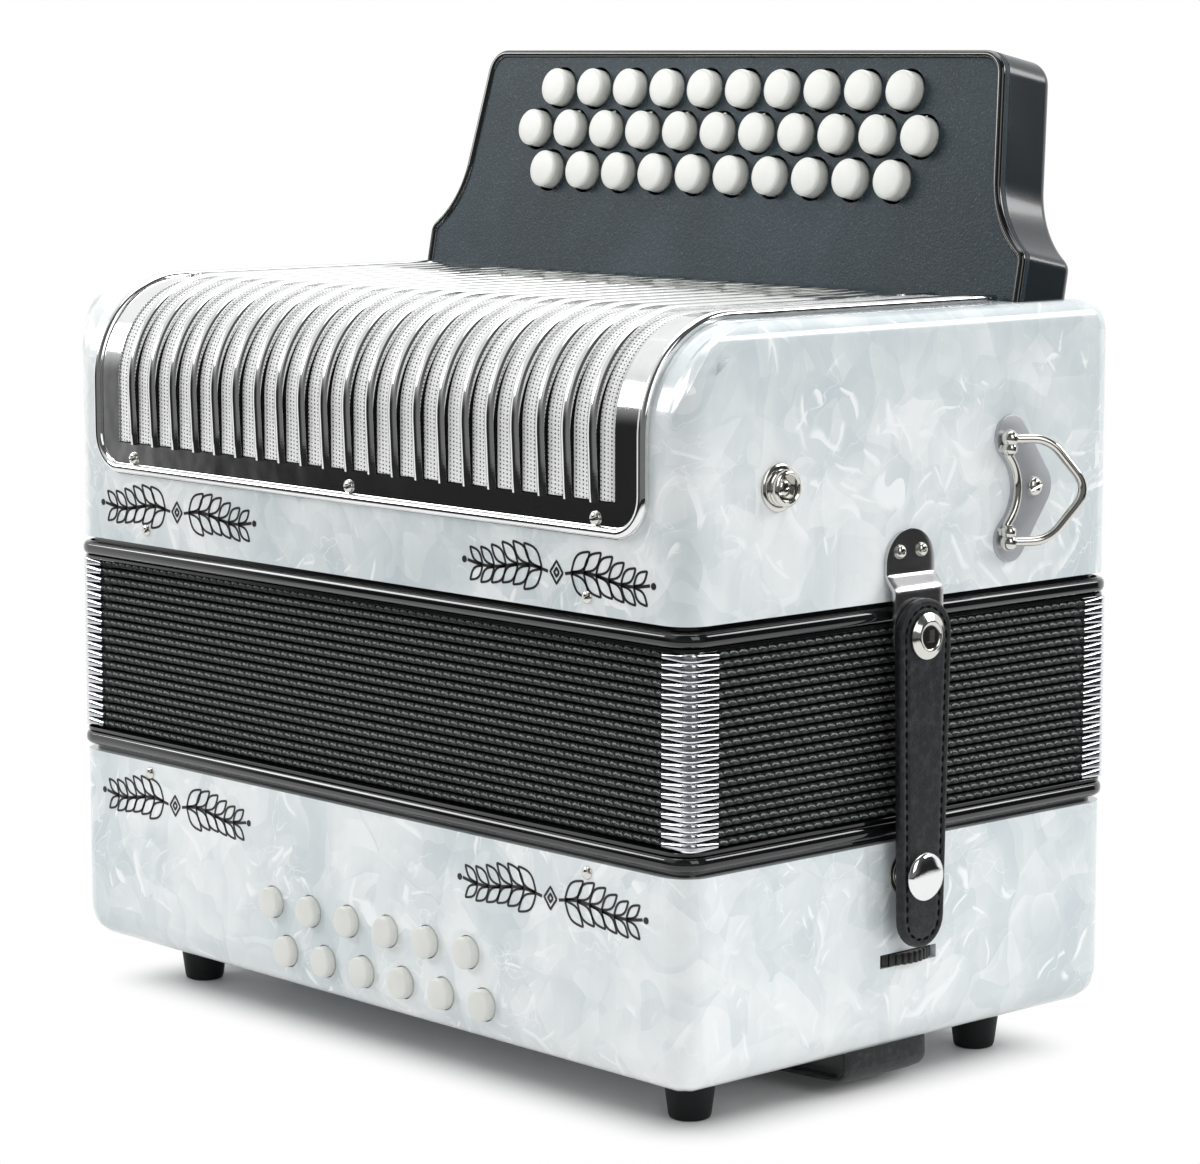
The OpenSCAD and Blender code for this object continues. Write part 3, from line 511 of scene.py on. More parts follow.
def wire(points, d, bend):                         # round wire through the points, with bent corners
    path = [Vector(points[0])]
    for a, b, c in zip(points, points[1:], points[2:]):
        a, b, c = Vector(a), Vector(b), Vector(c)
        reach = min(bend, (a - b).length * 0.45, (c - b).length * 0.45)
        p, q = b + (a - b).normalized() * reach, b + (c - b).normalized() * reach
        path += [p * (1 - k) ** 2 + b * 2 * k * (1 - k) + q * k * k for k in [i / 8 for i in range(9)]]
    path.append(Vector(points[-1]))
    data = bpy.data.curves.new("wire", "CURVE")
    data.dimensions, data.bevel_depth, data.bevel_resolution, data.use_fill_caps = "3D", d / 2, 4, True
    line = data.splines.new("POLY")
    line.points.add(len(path) - 1)
    for point, at in zip(line.points, path):
        point.co = (*at, 1)
    made = bpy.data.objects.new("wire", data)
    scene.collection.objects.link(made)
    return settled(made)


def evenNormals(made):                             # flat faces stay flat beside their rounded edges
    made.modifiers.new("even", "WEIGHTED_NORMAL").keep_sharp = True
    return made


def onEnd(y, z, out=0.0):                          # local X towards the back, Y up, Z out of the right end
    return Matrix(((0, 0, 1, endX + out), (1, 0, 0, y), (0, 1, 0, z), (0, 0, 0, 1)))


def onFront(x, z, out=0.0):
    return Matrix(((1, 0, 0, x), (0, 0, -1, frontY - out), (0, 1, 0, z), (0, 0, 0, 1)))


def onTop(x, y, out=0.0):
    return shift(x, y, trebleHigh.z + out)


def bothEnds(bm):
    bmesh.ops.mirror(bm, geom=whole(bm), axis="X", merge_dist=-1)
    return bm


def screwHead(d, h):
    r, slot = d / 2, d * 0.07
    head = turned([(0, 0), (r * 0.96, 0), (r, h * 0.2), (r * 0.93, h * 0.5), (r * 0.72, h * 0.8),
                   (r * 0.4, h * 0.96), (0, h)], 24)
    bar = block((-r, -slot, h * 0.55), (r, slot, h * 2))
    return cut(head, moved(bar, Matrix.Rotation(radians(20), 4, "Z")))


# ---- Cases ----
shellSizes = {"wall": 6.0, "segments": 10, "treble": {"upright": 10.0, "front": 34.0, "back": 14.0, "end": 7.0},
              "bass": {"upright": 10.0, "front": 11.0, "back": 11.0, "end": 11.0}}
cutter = {"past": 5.0, "deep": 12.0, "gap": 0.3, "wheelHalf": 13.0}    # how far a cutter runs past a wall or into it


def shell(low, high, openTop, rounds):             # a box with one open side and its own rounding per edge
    bm = block(low, high)
    layer = bm.edges.layers.float.new("bevel_weight_edge")
    widest = max(rounds.values())
    openZ = high.z if openTop else low.z
    for edge in bm.edges:
        a, b = edge.verts[0].co, edge.verts[1].co
        middle = (a + b) / 2
        if abs(a.z - b.z) > 1:
            kind = "upright"
        elif abs(middle.z - openZ) < 1:
            continue
        elif abs(a.x - b.x) > 1:
            kind = "front" if middle.y < 0 else "back"
        else:
            kind = "end"
        edge[layer] = rounds[kind] / widest
    lid = [f for f in bm.faces if abs(f.calc_center_median().z - openZ) < 1]
    bmesh.ops.delete(bm, geom=lid, context="FACES")
    made = linked(bm)
    bevel = made.modifiers.new("round", "BEVEL")
    bevel.limit_method, bevel.width, bevel.segments = "WEIGHT", widest, shellSizes["segments"]
    bevel.use_clamp_overlap = False
    wall = made.modifiers.new("wall", "SOLIDIFY")
    wall.thickness, wall.offset, wall.use_even_offset, wall.use_rim = shellSizes["wall"], -1, False, True
    return settled(made)


grille = {"length": 283.0, "low": 24.3, "sheet": 1.2, "rim": 2.8, "rimWidth": 3.6, "slots": 22, "pitch": 11.85,
          "slot": 6.6, "slotEnd": 11.0, "corner": 14.0, "cloth": 0.7, "fin": 4.2, "finHigh": 3.3, "finTurn": 62,
          "finRound": 1.7, "gapEnd": 0.55}
slotSpan = (grille["slots"] - 1) * grille["pitch"] + grille["slot"]
grilleBox = boxOf("treble_grille")
grilleBack = grilleBox[1].y
slotBack = grilleBack - grille["slotEnd"] / 2
slotLow = trebleLow.z + grille["low"] + grille["slotEnd"]
leverSlot = {"half": 102.5, "front": grilleBack + 6.6, "back": grilleBack + 22.9}

trebleShell = shell(trebleLow, trebleHigh, False, shellSizes["treble"])
over = trebleHigh.z + cutter["past"]
for low, high in (((-slotSpan / 2, frontY - cutter["past"], slotLow), (slotSpan / 2, slotBack, over)),
                  ((-leverSlot["half"], leverSlot["front"], trebleHigh.z - cutter["deep"]),
                   (leverSlot["half"], leverSlot["back"], over))):
    trebleShell = cut(trebleShell, block(low, high))
evenNormals(piece("trebleShell", trebleShell, "treble_side", [pearl], ["treble_case"]))

bassKeyLow, bassKeyHigh = boxOf("bass_button_01")
bassKeyD = bassKeyHigh.x - bassKeyLow.x
bassAt = [sum(boxOf(f"bass_button_{k:02d}"), Vector()) / 2 for k in range(1, 13)]
bores, bore = bmesh.new(), rod(bassKeyD / 2 + cutter["gap"], -cutter["deep"], cutter["deep"])
put(bores, bore, Matrix.Rotation(pi / 2, 4, "X"), 0, [(p.x, frontY, p.z) for p in bassAt])
wheelLow, wheelHigh = boxOf("strap_wheel")
wheelMid = (wheelLow + wheelHigh) / 2
wheelSlot = block((endX - cutter["deep"], wheelMid.y - cutter["wheelHalf"], wheelLow.z - cutter["gap"]),
                  (endX + cutter["past"], wheelMid.y + cutter["wheelHalf"], wheelHigh.z + cutter["gap"]))
bassShell = cut(cut(shell(bassLow, bassHigh, True, shellSizes["bass"]), bores), wheelSlot)
evenNormals(piece("bassShell", bassShell, "bass_side", [pearl], ["bass_case"]))
print("cases ready")

# ---- Grille ----
frontR = shellSizes["treble"]["front"]
grilleZ = trebleLow.z + grille["low"]
rise = trebleHigh.z - frontR - grilleZ
curve = pi / 2 * frontR
grilleLength = rise + curve + grilleBack - (frontY + frontR)


def wrap(x, s, t):                                 # s up the case from the grille's lower edge, t out of it
    if s < rise:
        return Vector((x, frontY - t, grilleZ + s))
    if s < rise + curve:
        angle = (s - rise) / frontR
        return Vector((x, frontY + frontR - (frontR + t) * cos(angle),
                       trebleHigh.z - frontR + (frontR + t) * sin(angle)))
    return Vector((x, frontY + frontR + s - rise - curve, trebleHigh.z + t))


def stations(low, high, coarse=14):                # stops up the wrap, close at both ends and on the curve
    stops = [low + (high - low) * i / 90 for i in range(91)]
    stops = {x for i, x in enumerate(stops)
             if i in (0, 90) or rise - 3 < x < rise + curve + 3 or i % coarse == 0}
    ends = [low + d for d in (0.4, 0.9, 1.6, 2.4, 3.2, 4.2)] + [high - d for d in (1.2, 2.5, 4, 6, 7)]
    return sorted(stops.union(ends))


def border():
    half, r = grille["length"] / 2, grille["corner"]
    bm = bmesh.new()
    bmesh.ops.create_grid(bm, x_segments=2, y_segments=100, size=1)
    moved(bm, shift(0, grilleLength / 2, 0) @ Matrix.Diagonal((half, grilleLength / 2, 1, 1)))
    for side in (-1, 1):                           # round the two lower corners
        for c, s in map(heading, range(9, 90, 9)):
            out = Vector((side * s, -c, 0))
            bmesh.ops.bisect_plane(bm, geom=whole(bm), plane_co=Vector((side * (half - r), r, 0)) + out * r,
                                   plane_no=out, clear_outer=True)
    x, low, high = slotSpan / 2, grille["slotEnd"], grilleLength - grille["slotEnd"] / 2
    for line in ((x, 0, 0), (-x, 0, 0), (0, low, 0), (0, high, 0)):
        bmesh.ops.bisect_plane(bm, geom=whole(bm), plane_co=line, plane_no=(1, 0, 0) if line[0] else (0, 1, 0))
    centres = [(f, f.calc_center_median()) for f in bm.faces]
    bmesh.ops.delete(bm, geom=[f for f, at in centres if abs(at.x) < x and low < at.y < high], context="FACES")
    top = set(raised(bm, 0))
    for v in bm.verts:
        v.co = wrap(v.co.x, v.co.y, grille["sheet"] if v in top else 0.06)
    return bm


def rim():
    half, r, inset = grille["length"] / 2, grille["corner"], grille["rimWidth"] / 2
    right = [(half - inset, grilleLength - i * (grilleLength - r) / 70, 1, 0) for i in range(71)]
    for c, s in map(heading, range(-9, -90, -9)):
        right.append((half - r + (r - inset) * c, r + (r - inset) * s, c, s))
    path = right + [(0, inset, 0, -1)] + [(-x, s, -nx, ns) for x, s, nx, ns in reversed(right)]

    def place(i, k):
        x, s, nx, ns = path[i]
        c, up = heading(360 * k / 14)
        return wrap(x + nx * inset * c, s + ns * inset * c, max(grille["rim"] - inset + inset * up, 0.1))
    return gridPiece(len(path) - 1, 14, place)


def fins():                                        # convex strips whose edge walls are in painted shade, standing for the dark gaps under both their edges
    half, turn, sheet = grille["fin"] / 2, grille["finTurn"], grille["sheet"] - 0.15
    stops = stations(grille["slotEnd"] - 0.4, grilleLength - grille["slotEnd"] / 2 + 3)
    ways = map(heading, [*range(-turn, turn - 4, 12), turn])
    face = [(s / sin(radians(turn)), (1 - c) * grille["finRound"]) for c, s in ways]
    rows = len(face) + 3

    def place(i, k):
        s = stops[i]
        ease = min(1, 0.5 + (s - stops[0]) / 22) * min(1, (stops[-1] - s) / 6)
        top = sheet + (grille["finHigh"] - sheet) * ease
        if 1 < k < rows - 1:
            x, drop = face[k - 2]
            return wrap(half * x, s, top - drop)
        foot, side = min(grille["cloth"] - 0.3, top - 1), half if k > 1 else -half
        if k in (0, rows):
            return wrap(side, s, foot)
        gap = 1 - min(1, max(0, (s - rise) / (curve * grille["gapEnd"])))      # the gap closes up the curve
        return wrap(side, s, foot + (top - face[0][1] - foot) * gap * 0.98)
    strip = gridPiece(len(stops) - 1, rows, place, lambda i, k: (i, k))
    layer = strip.loops.layers.uv.active
    for f in strip.faces:                          # the lowest and highest rows are the walls, in painted shade
        f.material_index = int(not 1 <= sum(loop[layer].uv.y for loop in f.loops) / len(f.loops) <= rows - 1)
    bm = bmesh.new()
    put(bm, strip, finish=None, copies=[((i - grille["slots"] / 2 + 1) * grille["pitch"], 0, 0)
                                        for i in range(grille["slots"] - 1)])
    return bm


bm = border()
put(bm, rim())
piece("grilleFrame", bm, "treble_side", [chrome], ["treble_grille"])
piece("grilleFins", fins(), "treble_side", [chrome, paintedGapShade], (), 45)

clothStops = stations(grille["slotEnd"] + 0.3, grilleLength - grille["slotEnd"] / 2 - 0.3, 6)
clothWidth, clothLength, columns = slotSpan - 0.6, clothStops[-1] - clothStops[0], 44
bm = gridPiece(columns, len(clothStops) - 1,
               lambda i, k: wrap((i / columns - 0.5) * clothWidth, clothStops[k], grille["cloth"]),
               lambda i, k: (clothWidth * i / columns, clothStops[k]))
cloth = piece("grilleCloth", bm, "treble_side", [meshCloth], sharp=60)
thick = cloth.modifiers.new("thickness", "SOLIDIFY")
thick.thickness, thick.offset = 0.6 * mm, -1
clothWidth * mm
clothLength * mm
print("grille ready")

# ---- Fingerboard ----
board = {"lean": 11.0, "height": 82.5, "thick": 25.0, "wall": 2.6, "endGap": 9.0, "waistWidth": 266.0,
         "waist": 40.0, "hollow": 34.0, "shoulder": 5.0, "top": 9.0, "slope": 7.5, "edge": 1.3, "back": 4.5,
         "bead": 2.9}
keys = {"rows": (10, 11, 10), "pitch": 19.25, "rowPitch": 15.2, "middle": 53.2, "d": 13.9, "cap": 13.4,
        "gap": 0.7, "out": 4.5, "offset": 2.6, "leverT": 2.0, "leverW": 4.0, "travel": 2.6, "axleLow": 15.0,
        "axleD": 3.0, "pallet": (14.0, 18.0, 4.0)}
boardY = grilleBack + 2.5                          # local X along, Y up the face, Z out of it
onBoard = shift(0, boardY, trebleHigh.z) @ Matrix.Rotation(radians(90 - board["lean"]), 4, "X")


def boardOutline(inset):                           # straight foot, hollow shoulders, rounded top corners
    foot = endX - board["endGap"] - inset
    a = radians(board["slope"])
    waistX = board["waistWidth"] / 2
    hollow = (waistX + board["hollow"] * cos(a), board["waist"] + board["hollow"] * sin(a))
    big, small = board["hollow"] + inset, max(board["shoulder"] - inset, 1)
    turn = degrees(acos((hollow[0] - foot + small) / (big + small)))
    shoulder = (foot - small, hollow[1] - (big + small) * sin(radians(turn)))
    tip = max(board["top"] - inset, 1)
    topY = board["height"] - inset - tip
    side = waistX - inset / cos(a) - (topY + tip * sin(a) - board["waist"]) * tan(a)
    right = [(foot, -board["thick"])] + arcPoints(*shoulder, small, 0, turn, 5) + arcPoints(
        *hollow, big, 180 + turn - 2, 180 + board["slope"], 18) + arcPoints(
        side - tip * cos(a), topY, tip, board["slope"], 90, 9)
    return right + [(-x, y) for x, y in reversed(right)]


def aboveCase(bm):
    moved(bm, onBoard)
    foot = (0, 0, trebleHigh.z + 0.06)
    bmesh.ops.bisect_plane(bm, geom=whole(bm), plane_co=foot, plane_no=(0, 0, 1), clear_inner=True)
    return capped(bm)


keyAt = [((i - (count - 1) / 2) * keys["pitch"], keys["middle"] + (1 - row) * keys["rowPitch"], row)
         for row, count in enumerate(keys["rows"]) for i in range(count)]
plate = slab(boardOutline(0), -board["wall"], 0, board["edge"], 4)
holes = bmesh.new()
put(holes, rod(keys["d"] / 2 + keys["gap"] + 0.15, -8, 6, 40), copies=[(x, y, 0) for x, y, row in keyAt])
plate = cut(plate, holes)
seam = -board["wall"] - 0.05
house = slab(boardOutline(0), -board["thick"], seam)
rounded(house, edgesAt(house, -board["thick"]), board["back"], 8)
rounded(house, edgesAt(house, seam), 0.5, 2)
house = cut(house, slab(boardOutline(board["wall"]), -board["thick"] + board["wall"], 1))
put(plate, wire([(x, y, -0.35) for x, y in boardOutline(board["bead"] / 2)], board["bead"], 0.8), finish=1)
for name, bm, finishes, hides in (("fingerPlate", plate, [plateBlack, lacquer], ["fingerboard"]),
                                  ("fingerHousing", house, [housing], ())):
    evenNormals(piece(name, aboveCase(bm), "treble_side", finishes, hides))
print("fingerboard ready")

# ---- Buttons ----


def cap(d, deep, out, edge=0.9):                   # a button, nearly flat, with a rounded edge
    r, shoulder = d / 2, out - edge - 0.15
    return turned([(0, -deep), (r - 0.3, -deep), (r, 0.3 - deep), (r, shoulder)] + arcPoints(
        r - edge, shoulder, edge, 15, 75, 4) + [(r - 1.6, out - 0.12), (r * 0.5, out - 0.03), (0, out)])


armDepth = board["wall"] + keys["travel"] + keys["leverW"] / 2 + 2.2
lean = radians(board["lean"])
axleY = boardY + armDepth * cos(lean) - keys["axleLow"] * sin(lean)
axleZ = trebleHigh.z - armDepth * sin(lean) - keys["axleLow"] * cos(lean)
seatZ = trebleHigh.z - frontR


def leverParts(height, row):                       # lever and pallet about x = 0
    w, t, (wide, long, high) = keys["leverW"] / 2, keys["leverT"] / 2, keys["pallet"]
    far = axleY - (long + 6) * (3 - row) - long / 2 - 3
    bm = bmesh.new()
    put(bm, block((-t, -keys["axleLow"], -armDepth - w), (t, height + w, -armDepth + w)), onBoard)
    put(bm, block((-t, height - w, -armDepth), (t, height + w, -0.5)), onBoard)
    put(bm, block((-t, far - w, axleZ - w), (t, axleY + w, axleZ + w), 0.3))
    put(bm, block((-t, far - w, seatZ + 3), (t, far + w, axleZ), 0.3))
    bore = keys["axleD"] / 2 + 0.1
    put(bm, turned([(bore, -t), (4, -t), (4, t), (bore, t), (bore, -t)], 24),
        shift(0, axleY, axleZ) @ Matrix.Rotation(pi / 2, 4, "Y"))
    for low, top, bevel, finish in ((1.3, high, 0.4, 1), (0.06, 1.3, 0.2, 2)):       # wood on felt
        put(bm, block((-wide / 2, far - long / 2, seatZ + low), (wide / 2, far + long / 2, seatZ + top), bevel),
            finish=finish)
    return bm


for number, (x, height, row) in enumerate(keyAt, 1):
    bm = bmesh.new()
    put(bm, leverParts(height, row), shift(x + (1 - row) * keys["offset"], 0, 0), None)
    put(bm, cap(keys["cap"], board["wall"] - 1, keys["out"]), onBoard @ shift(x, height, 0), 3)
    piece(f"trebleKey_{number:02d}", bm, f"treble_key_{number:02d}", [alloy, wood, felt, ivory],
          [f"treble_button_{number:02d}"], 50)
stem = bassKeyHigh.y - frontY
for number, p in enumerate(bassAt, 1):
    bm = cap(bassKeyD, 7.5, frontY - bassKeyLow.y)
    put(bm, turned([(0, -stem), (1.2, -stem), (1.5, 0.3 - stem), (1.5, -7), (0, -7)], 16))
    piece(f"bassKey_{number:02d}", moved(bm, onFront(p.x, p.z)), f"bass_key_{number:02d}", [ivory],
          [f"bass_button_{number:02d}"], 50)
print("buttons ready")

# ---- Bellows and their frames ----
foldPitch = (foldHigh - foldLow) / folds["count"]
foldL, foldD = caseL - 2 * folds["insetEnd"], caseD - 2 * folds["inset"]


def smoothShare(weight):                           # where smooth blending has reached that weight
    return 0.5 - sin(asin(1 - 2 * weight) / 3)


cardPath = planPath(foldL, foldD, folds["radius"], 5)
tapePath, around = cardPath[:1], [0.0]
for a in cardPath[1:]:                             # close stations along the straight sides
    b = tapePath[-1]
    length = hypot(a[0] - b[0], a[1] - b[1])
    count = max(1, round(length / folds["lump"] * folds["stops"])) if length > 5 else 1
    tapePath += [tuple(b[k] + (a[k] - b[k]) * i / count for k in range(4)) for i in range(1, count + 1)]
for a, b in zip(tapePath, tapePath[1:]):
    around.append(around[-1] + hypot(a[0] - b[0], a[1] - b[1]))
tapeProfile = [(-3.4, -0.8), (-1.3, -1.22), (-0.45, -1.05), (-0.02, -0.55), (0, 0.1), (-0.15, 0.7), (-0.6, 1.1),
               (-1.6, 1.22), (-3.4, 0.8), (-3.4, -0.8)]


def tape(level, middle):                           # lumps of woven tape, shifted from fold to fold
    phase = (level * 0.37) % 1

    def wobble(stop, out, z):
        along = (around[stop] / folds["lump"] + z * folds["slant"] + phase) % 1
        swell = max(0, 1 - abs(along - 0.55) / 0.55) ** 0.6
        sink = (1 - swell) * max(0, 1 - abs(out) / 2.5)
        return out - folds["lumpDeep"] * sink, middle + z * (0.94 - 0.24 * sink * (z > 0))
    return ringPiece(tapePath, tapeProfile, wobble, lambda stop, row: (
        around[stop] / folds["lump"] + phase, tapeProfile[row][1]))


cornerStops = [(11.4, 0.0), (11.0, 0.04), (8.6, 0.27), (6, 0.52), (3.6, 0.76)]   # way from the corner, depth


def cornerPiece():                                 # one metal corner, at the right front
    r, x, y = folds["radius"], foldL / 2, -foldD / 2
    path = [(x - leg, y, 0, -1, deep) for leg, deep in cornerStops]
    for a in range(0, 91, 15):
        c, sn = heading(a - 90)
        path.append((x - r + r * c, y + r + r * sn, c, sn, 1 - 0.2 * abs(a - 45) / 45))
    path += [(x, y + leg, 1, 0, deep) for leg, deep in reversed(cornerStops)]

    def place(i, k):                               # a band, a flat that widens towards the corner, and a lip
        x, y, nx, ny, deep = path[i]
        top = 0.80 + 0.78 * deep
        flat = top - 1.10 - 0.25 * deep
        low = flat - 0.05 - 0.92 * deep
        foot = -1.02 - 0.36 * deep
        section = [(0.05, top), (0.45, top - 0.10), (0.76, top - 0.36), (0.90, top - 0.72), (0.92, flat + 0.05),
                   (0.74, flat), (0.74, low + 0.02), (0.78, low), (0.94, low - 0.14),
                   (0.80, (low - 0.14) * 0.4 + foot * 0.6), (0.05, foot)]
        out, z = section[k % 11]
        return (x + nx * out, y + ny * out, z)
    return capped(gridPiece(len(path) - 1, 11, place))


corners = bothEnds(cornerPiece())
bmesh.ops.mirror(corners, geom=whole(corners), axis="Y", merge_dist=-1)
half = foldPitch / 2
cardProfile = [(-16.2, -half), (-0.9, -0.12), (-0.9, 0.12), (-16.2, half), (-17.0, half), (-3, 0),
               (-17.0, -half), (-16.2, -half)]
for level in range(folds["count"]):
    middle = foldLow + (level + 0.5) * foldPitch
    t0, t1 = (smoothShare((level + k) / folds["count"]) for k in (0, 1))
    run = foldPitch / (t1 - t0)
    start = middle - half - t0 * run
    card = ringPiece(cardPath, [(out, middle + z) for out, z in cardProfile])
    card = piece(f"foldCard_{level + 1:02d}", card, None, [foldCard], () if level else ["bellows"],
                 30)
    start * mm
    (start + run) * mm
    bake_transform(card)
    edge = tape(level, middle)
    put(edge, corners.copy(), shift(0, 0, middle), 1)
    edge = piece(f"foldEdge_{level + 1:02d}", edge, None, [foldTape, foldMetal], (), 38)
    reach, share = 10000.0, (t0 + t1) / 2          # a run of ten metres, and the middle of this fold's share of the bellows
    (middle - share * reach) * mm
    (middle + (1 - share) * reach) * mm
    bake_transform(edge)

beads = {"radius": 9.0, "out": 0.6, "half": 2.5, "middle": 4.3, "stripIn": 3.0}
beadProfile = [(-19.5, 1.8)] + [
    (beads["out"] + beads["half"] * (squared(c, 0.85) - 1), beads["middle"] + beads["half"] * squared(s, 0.85))
    for c, s in map(heading, range(-90, 91, 15))] + [
    (-0.4, 6.85), (-0.2, 7.0), (-0.2, 7.8), (-0.4, 8.0), (-19.5, 8.0), (-19.5, 1.8)]
stripProfile = [(-16.5, 0.02), (0, 0.02), (0, 1.85), (-16.5, 1.85), (-16.5, 0.02)]
stripIn = beads["stripIn"]
stripPath = planPath(caseL - 2 * stripIn, caseD - 2 * stripIn, shellSizes["bass"]["upright"] - stripIn)
for side, base, up in (("bass", bassHigh.z, 1), ("treble", trebleLow.z, -1)):
    bm, strip = (ringPiece(path, [(out, base + up * z) for out, z in profile]) for path, profile in (
        (planPath(caseL, caseD, beads["radius"]), beadProfile), (stripPath, stripProfile)))
    put(bm, strip)
    piece(side + "Frame", bm, side + "_side", [lacquer], [side + "_frame"], 30)
print("bellows ready")

# ---- Closure straps, brackets and studs ----
strap = {"tipWidth": 19.6, "reach": 76.9, "tip": 23.0, "stand": 5.2, "thick": 3.2, "seam": 2.6, "stitch": 3.3,
         "snap": 15.8, "stud": 11.4, "swing": 131.0, "bracket": 1.2, "bracketTop": 22.5, "bracketScrew": 15.5,
         "joggle": 8.8, "ramp": 6.4}
strapLow, strapHigh = boxOf("closure_straps")
pivotY, strapR = (strapLow.y + strapHigh.y) / 2, (strapHigh.y - strapLow.y) / 2
pivotZ = strapHigh.z - strapR
straight = strap["reach"] + strap["tip"] - strap["tipWidth"] / 2


def strapOutline(inset):
    return arcPoints(0, 0, strapR - inset, 0, 180, 14) + arcPoints(
        0, -straight, strap["tipWidth"] / 2 - inset, 180, 360, 14)


def strapBody():
    t = strap["thick"]
    bm = slab(strapOutline(0), 0, t, 0.9, 3, keepBack=False)
    bm.normal_update()
    top = [f for f in bm.faces if f.normal.z > 0.9 and len(f.verts) > 8]
    for width, deep in ((strap["seam"] - 1.6, 0.0), (0.3, -0.22), (0.7, 0.0), (0.3, 0.22), (1.2, 0.0)):
        bmesh.ops.inset_region(bm, faces=top, thickness=width, depth=deep, use_even_offset=True)
    ring = strapOutline(strap["seam"])
    travel = due = 0.0
    for a, b in zip(ring, ring[1:] + ring[:1]):    # stitches at an even distance round the seam
        length = hypot(b[0] - a[0], b[1] - a[1])
        while due <= travel + length and length > 0:
            k = (due - travel) / length
            dash = bmesh.new()
            bmesh.ops.create_uvsphere(dash, u_segments=6, v_segments=4, radius=1)
            along = Matrix.Rotation(atan2(b[1] - a[1], b[0] - a[0]), 4, "Z")
            put(bm, dash, shift(a[0] + (b[0] - a[0]) * k, a[1] + (b[1] - a[1]) * k, t - 0.12) @ along
                @ Matrix.Diagonal((1.2, 0.42, 0.3, 1)), 1)
            due += strap["stitch"]
        travel += length
    return bm


def domed(d, h, foot):
    r = d / 2
    dome = ((0.95, 0.38), (0.8, 0.68), (0.55, 0.88), (0.28, 0.97), (0, 1))
    return turned([(0, 0), (r - 0.2, 0), (r, foot / 2), (r, foot)] +
                  [(r * wide, foot + (h - foot) * up) for wide, up in dome], 40)


bm = strapBody()
put(bm, domed(strap["snap"], 2.6, 0.7), shift(0, -strap["reach"], strap["thick"] + 0.05), 2)
moved(bm, onEnd(pivotY, pivotZ, strap["stand"]))
piece("closureStraps", bothEnds(bm), "straps", [leather, thread, chrome], ["closure_straps"])


def bracket():                                     # the plate that carries a strap over the frame's bead
    w, t, base = strapR - 0.8, strap["bracket"], trebleLow.z - pivotZ
    r, top, joggle = w * 0.99, base + strap["bracketTop"], base + strap["joggle"]
    step = strap["stand"] - t - 0.05
    heights = [top - r * (1 - c) for c, sn in map(heading, range(0, 91, 6))]
    heights += [joggle - strap["ramp"] * i / 12 for i in range(13)]
    heights += [r * (1 - sn) - w for c, sn in map(heading, range(0, 91, 6))]
    heights = sorted({round(h, 4) for h in heights}, reverse=True)

    def place(i, k):                               # flat, a smooth step out over the bead, flat again
        h = heights[k]
        over = max(0, h - (top - r), r - w - h)
        share = min(1, max(0, (joggle - h) / strap["ramp"]))
        return ((i / 4 - 1) * (w - r + sqrt(max(0.0, r * r - over * over))), h,
                0.05 + (step - 0.05) * share * share * (3 - 2 * share))
    made = linked(gridPiece(8, len(heights) - 1, place))
    wall = made.modifiers.new("wall", "SOLIDIFY")
    wall.thickness, wall.offset, wall.use_even_offset = t, -1, True
    soft = made.modifiers.new("soft", "BEVEL")
    soft.width, soft.segments, soft.limit_method, soft.angle_limit = 0.3, 2, "ANGLE", radians(50)
    return settled(made)


def stud():
    h, r, base = strap["stand"] - 0.3, strap["stud"] / 2, strap["snap"] / 2 - 0.5
    ring = turned([(0, 0), (base - 0.3, 0), (base, 0.3), (base, 0.8), (base - 0.3, 1.05), (5.75, 1.15),
                   (5.6, 1.3), (5.6, 2.2), (5.2, 2.5), (5.2, 3.1), (r, 3.5), (r, h - 0.7), (r - 0.4, h - 0.25),
                   (r - 1.0, h - 0.1), (r - 1.5, h - 0.5), (4.1, 3.6), (4.1, 2.3), (0, 2.3)], 36)
    put(ring, screwHead(5.6, 1.3), shift(0, 0, 2.3))
    return ring


def rivet():
    head = turned([(0, 0), (7.2, 0), (7.5, 0.3), (7.4, 0.7), (6.9, 1.0), (5.4, 1.65), (5.0, 1.95), (4.7, 1.95),
                   (4.4, 1.6), (4.1, 1.45), (3.4, 1.35), (0, 1.35)], 40)
    head = cut(head, block((-2.0, -2.0, 0.3), (2.0, 2.0, 3)))
    put(head, rod(3, -strap["thick"] - 0.2, 0.1, 20))
    return head


bm = bmesh.new()
put(bm, bracket(), finish=1)
put(bm, rivet(), shift(0, 0, strap["stand"] + strap["thick"] + 0.15))
for side in (-1, 1):
    put(bm, screwHead(4.4, 1.5), Matrix.Translation(
        (side * 4.9, trebleLow.z + strap["bracketScrew"] - pivotZ, strap["bracket"] + 0.08)))
piece("closureBrackets", bothEnds(moved(bm, onEnd(pivotY, pivotZ))), "treble_side", [nickel, bracketPlate],
      ["treble_fittings"])
for name, body, swing, hides in (("parkingStuds", "treble_side", strap["swing"], ()),
                                 ("snapStuds", "bass_side", 0.0, ["bass_fittings"])):
    c, sn = heading(swing)
    at = onEnd(pivotY - strap["reach"] * sn, pivotZ - strap["reach"] * c, 0.05)
    piece(name, bothEnds(moved(stud(), at)), body, [nickel], hides)
print("straps ready")

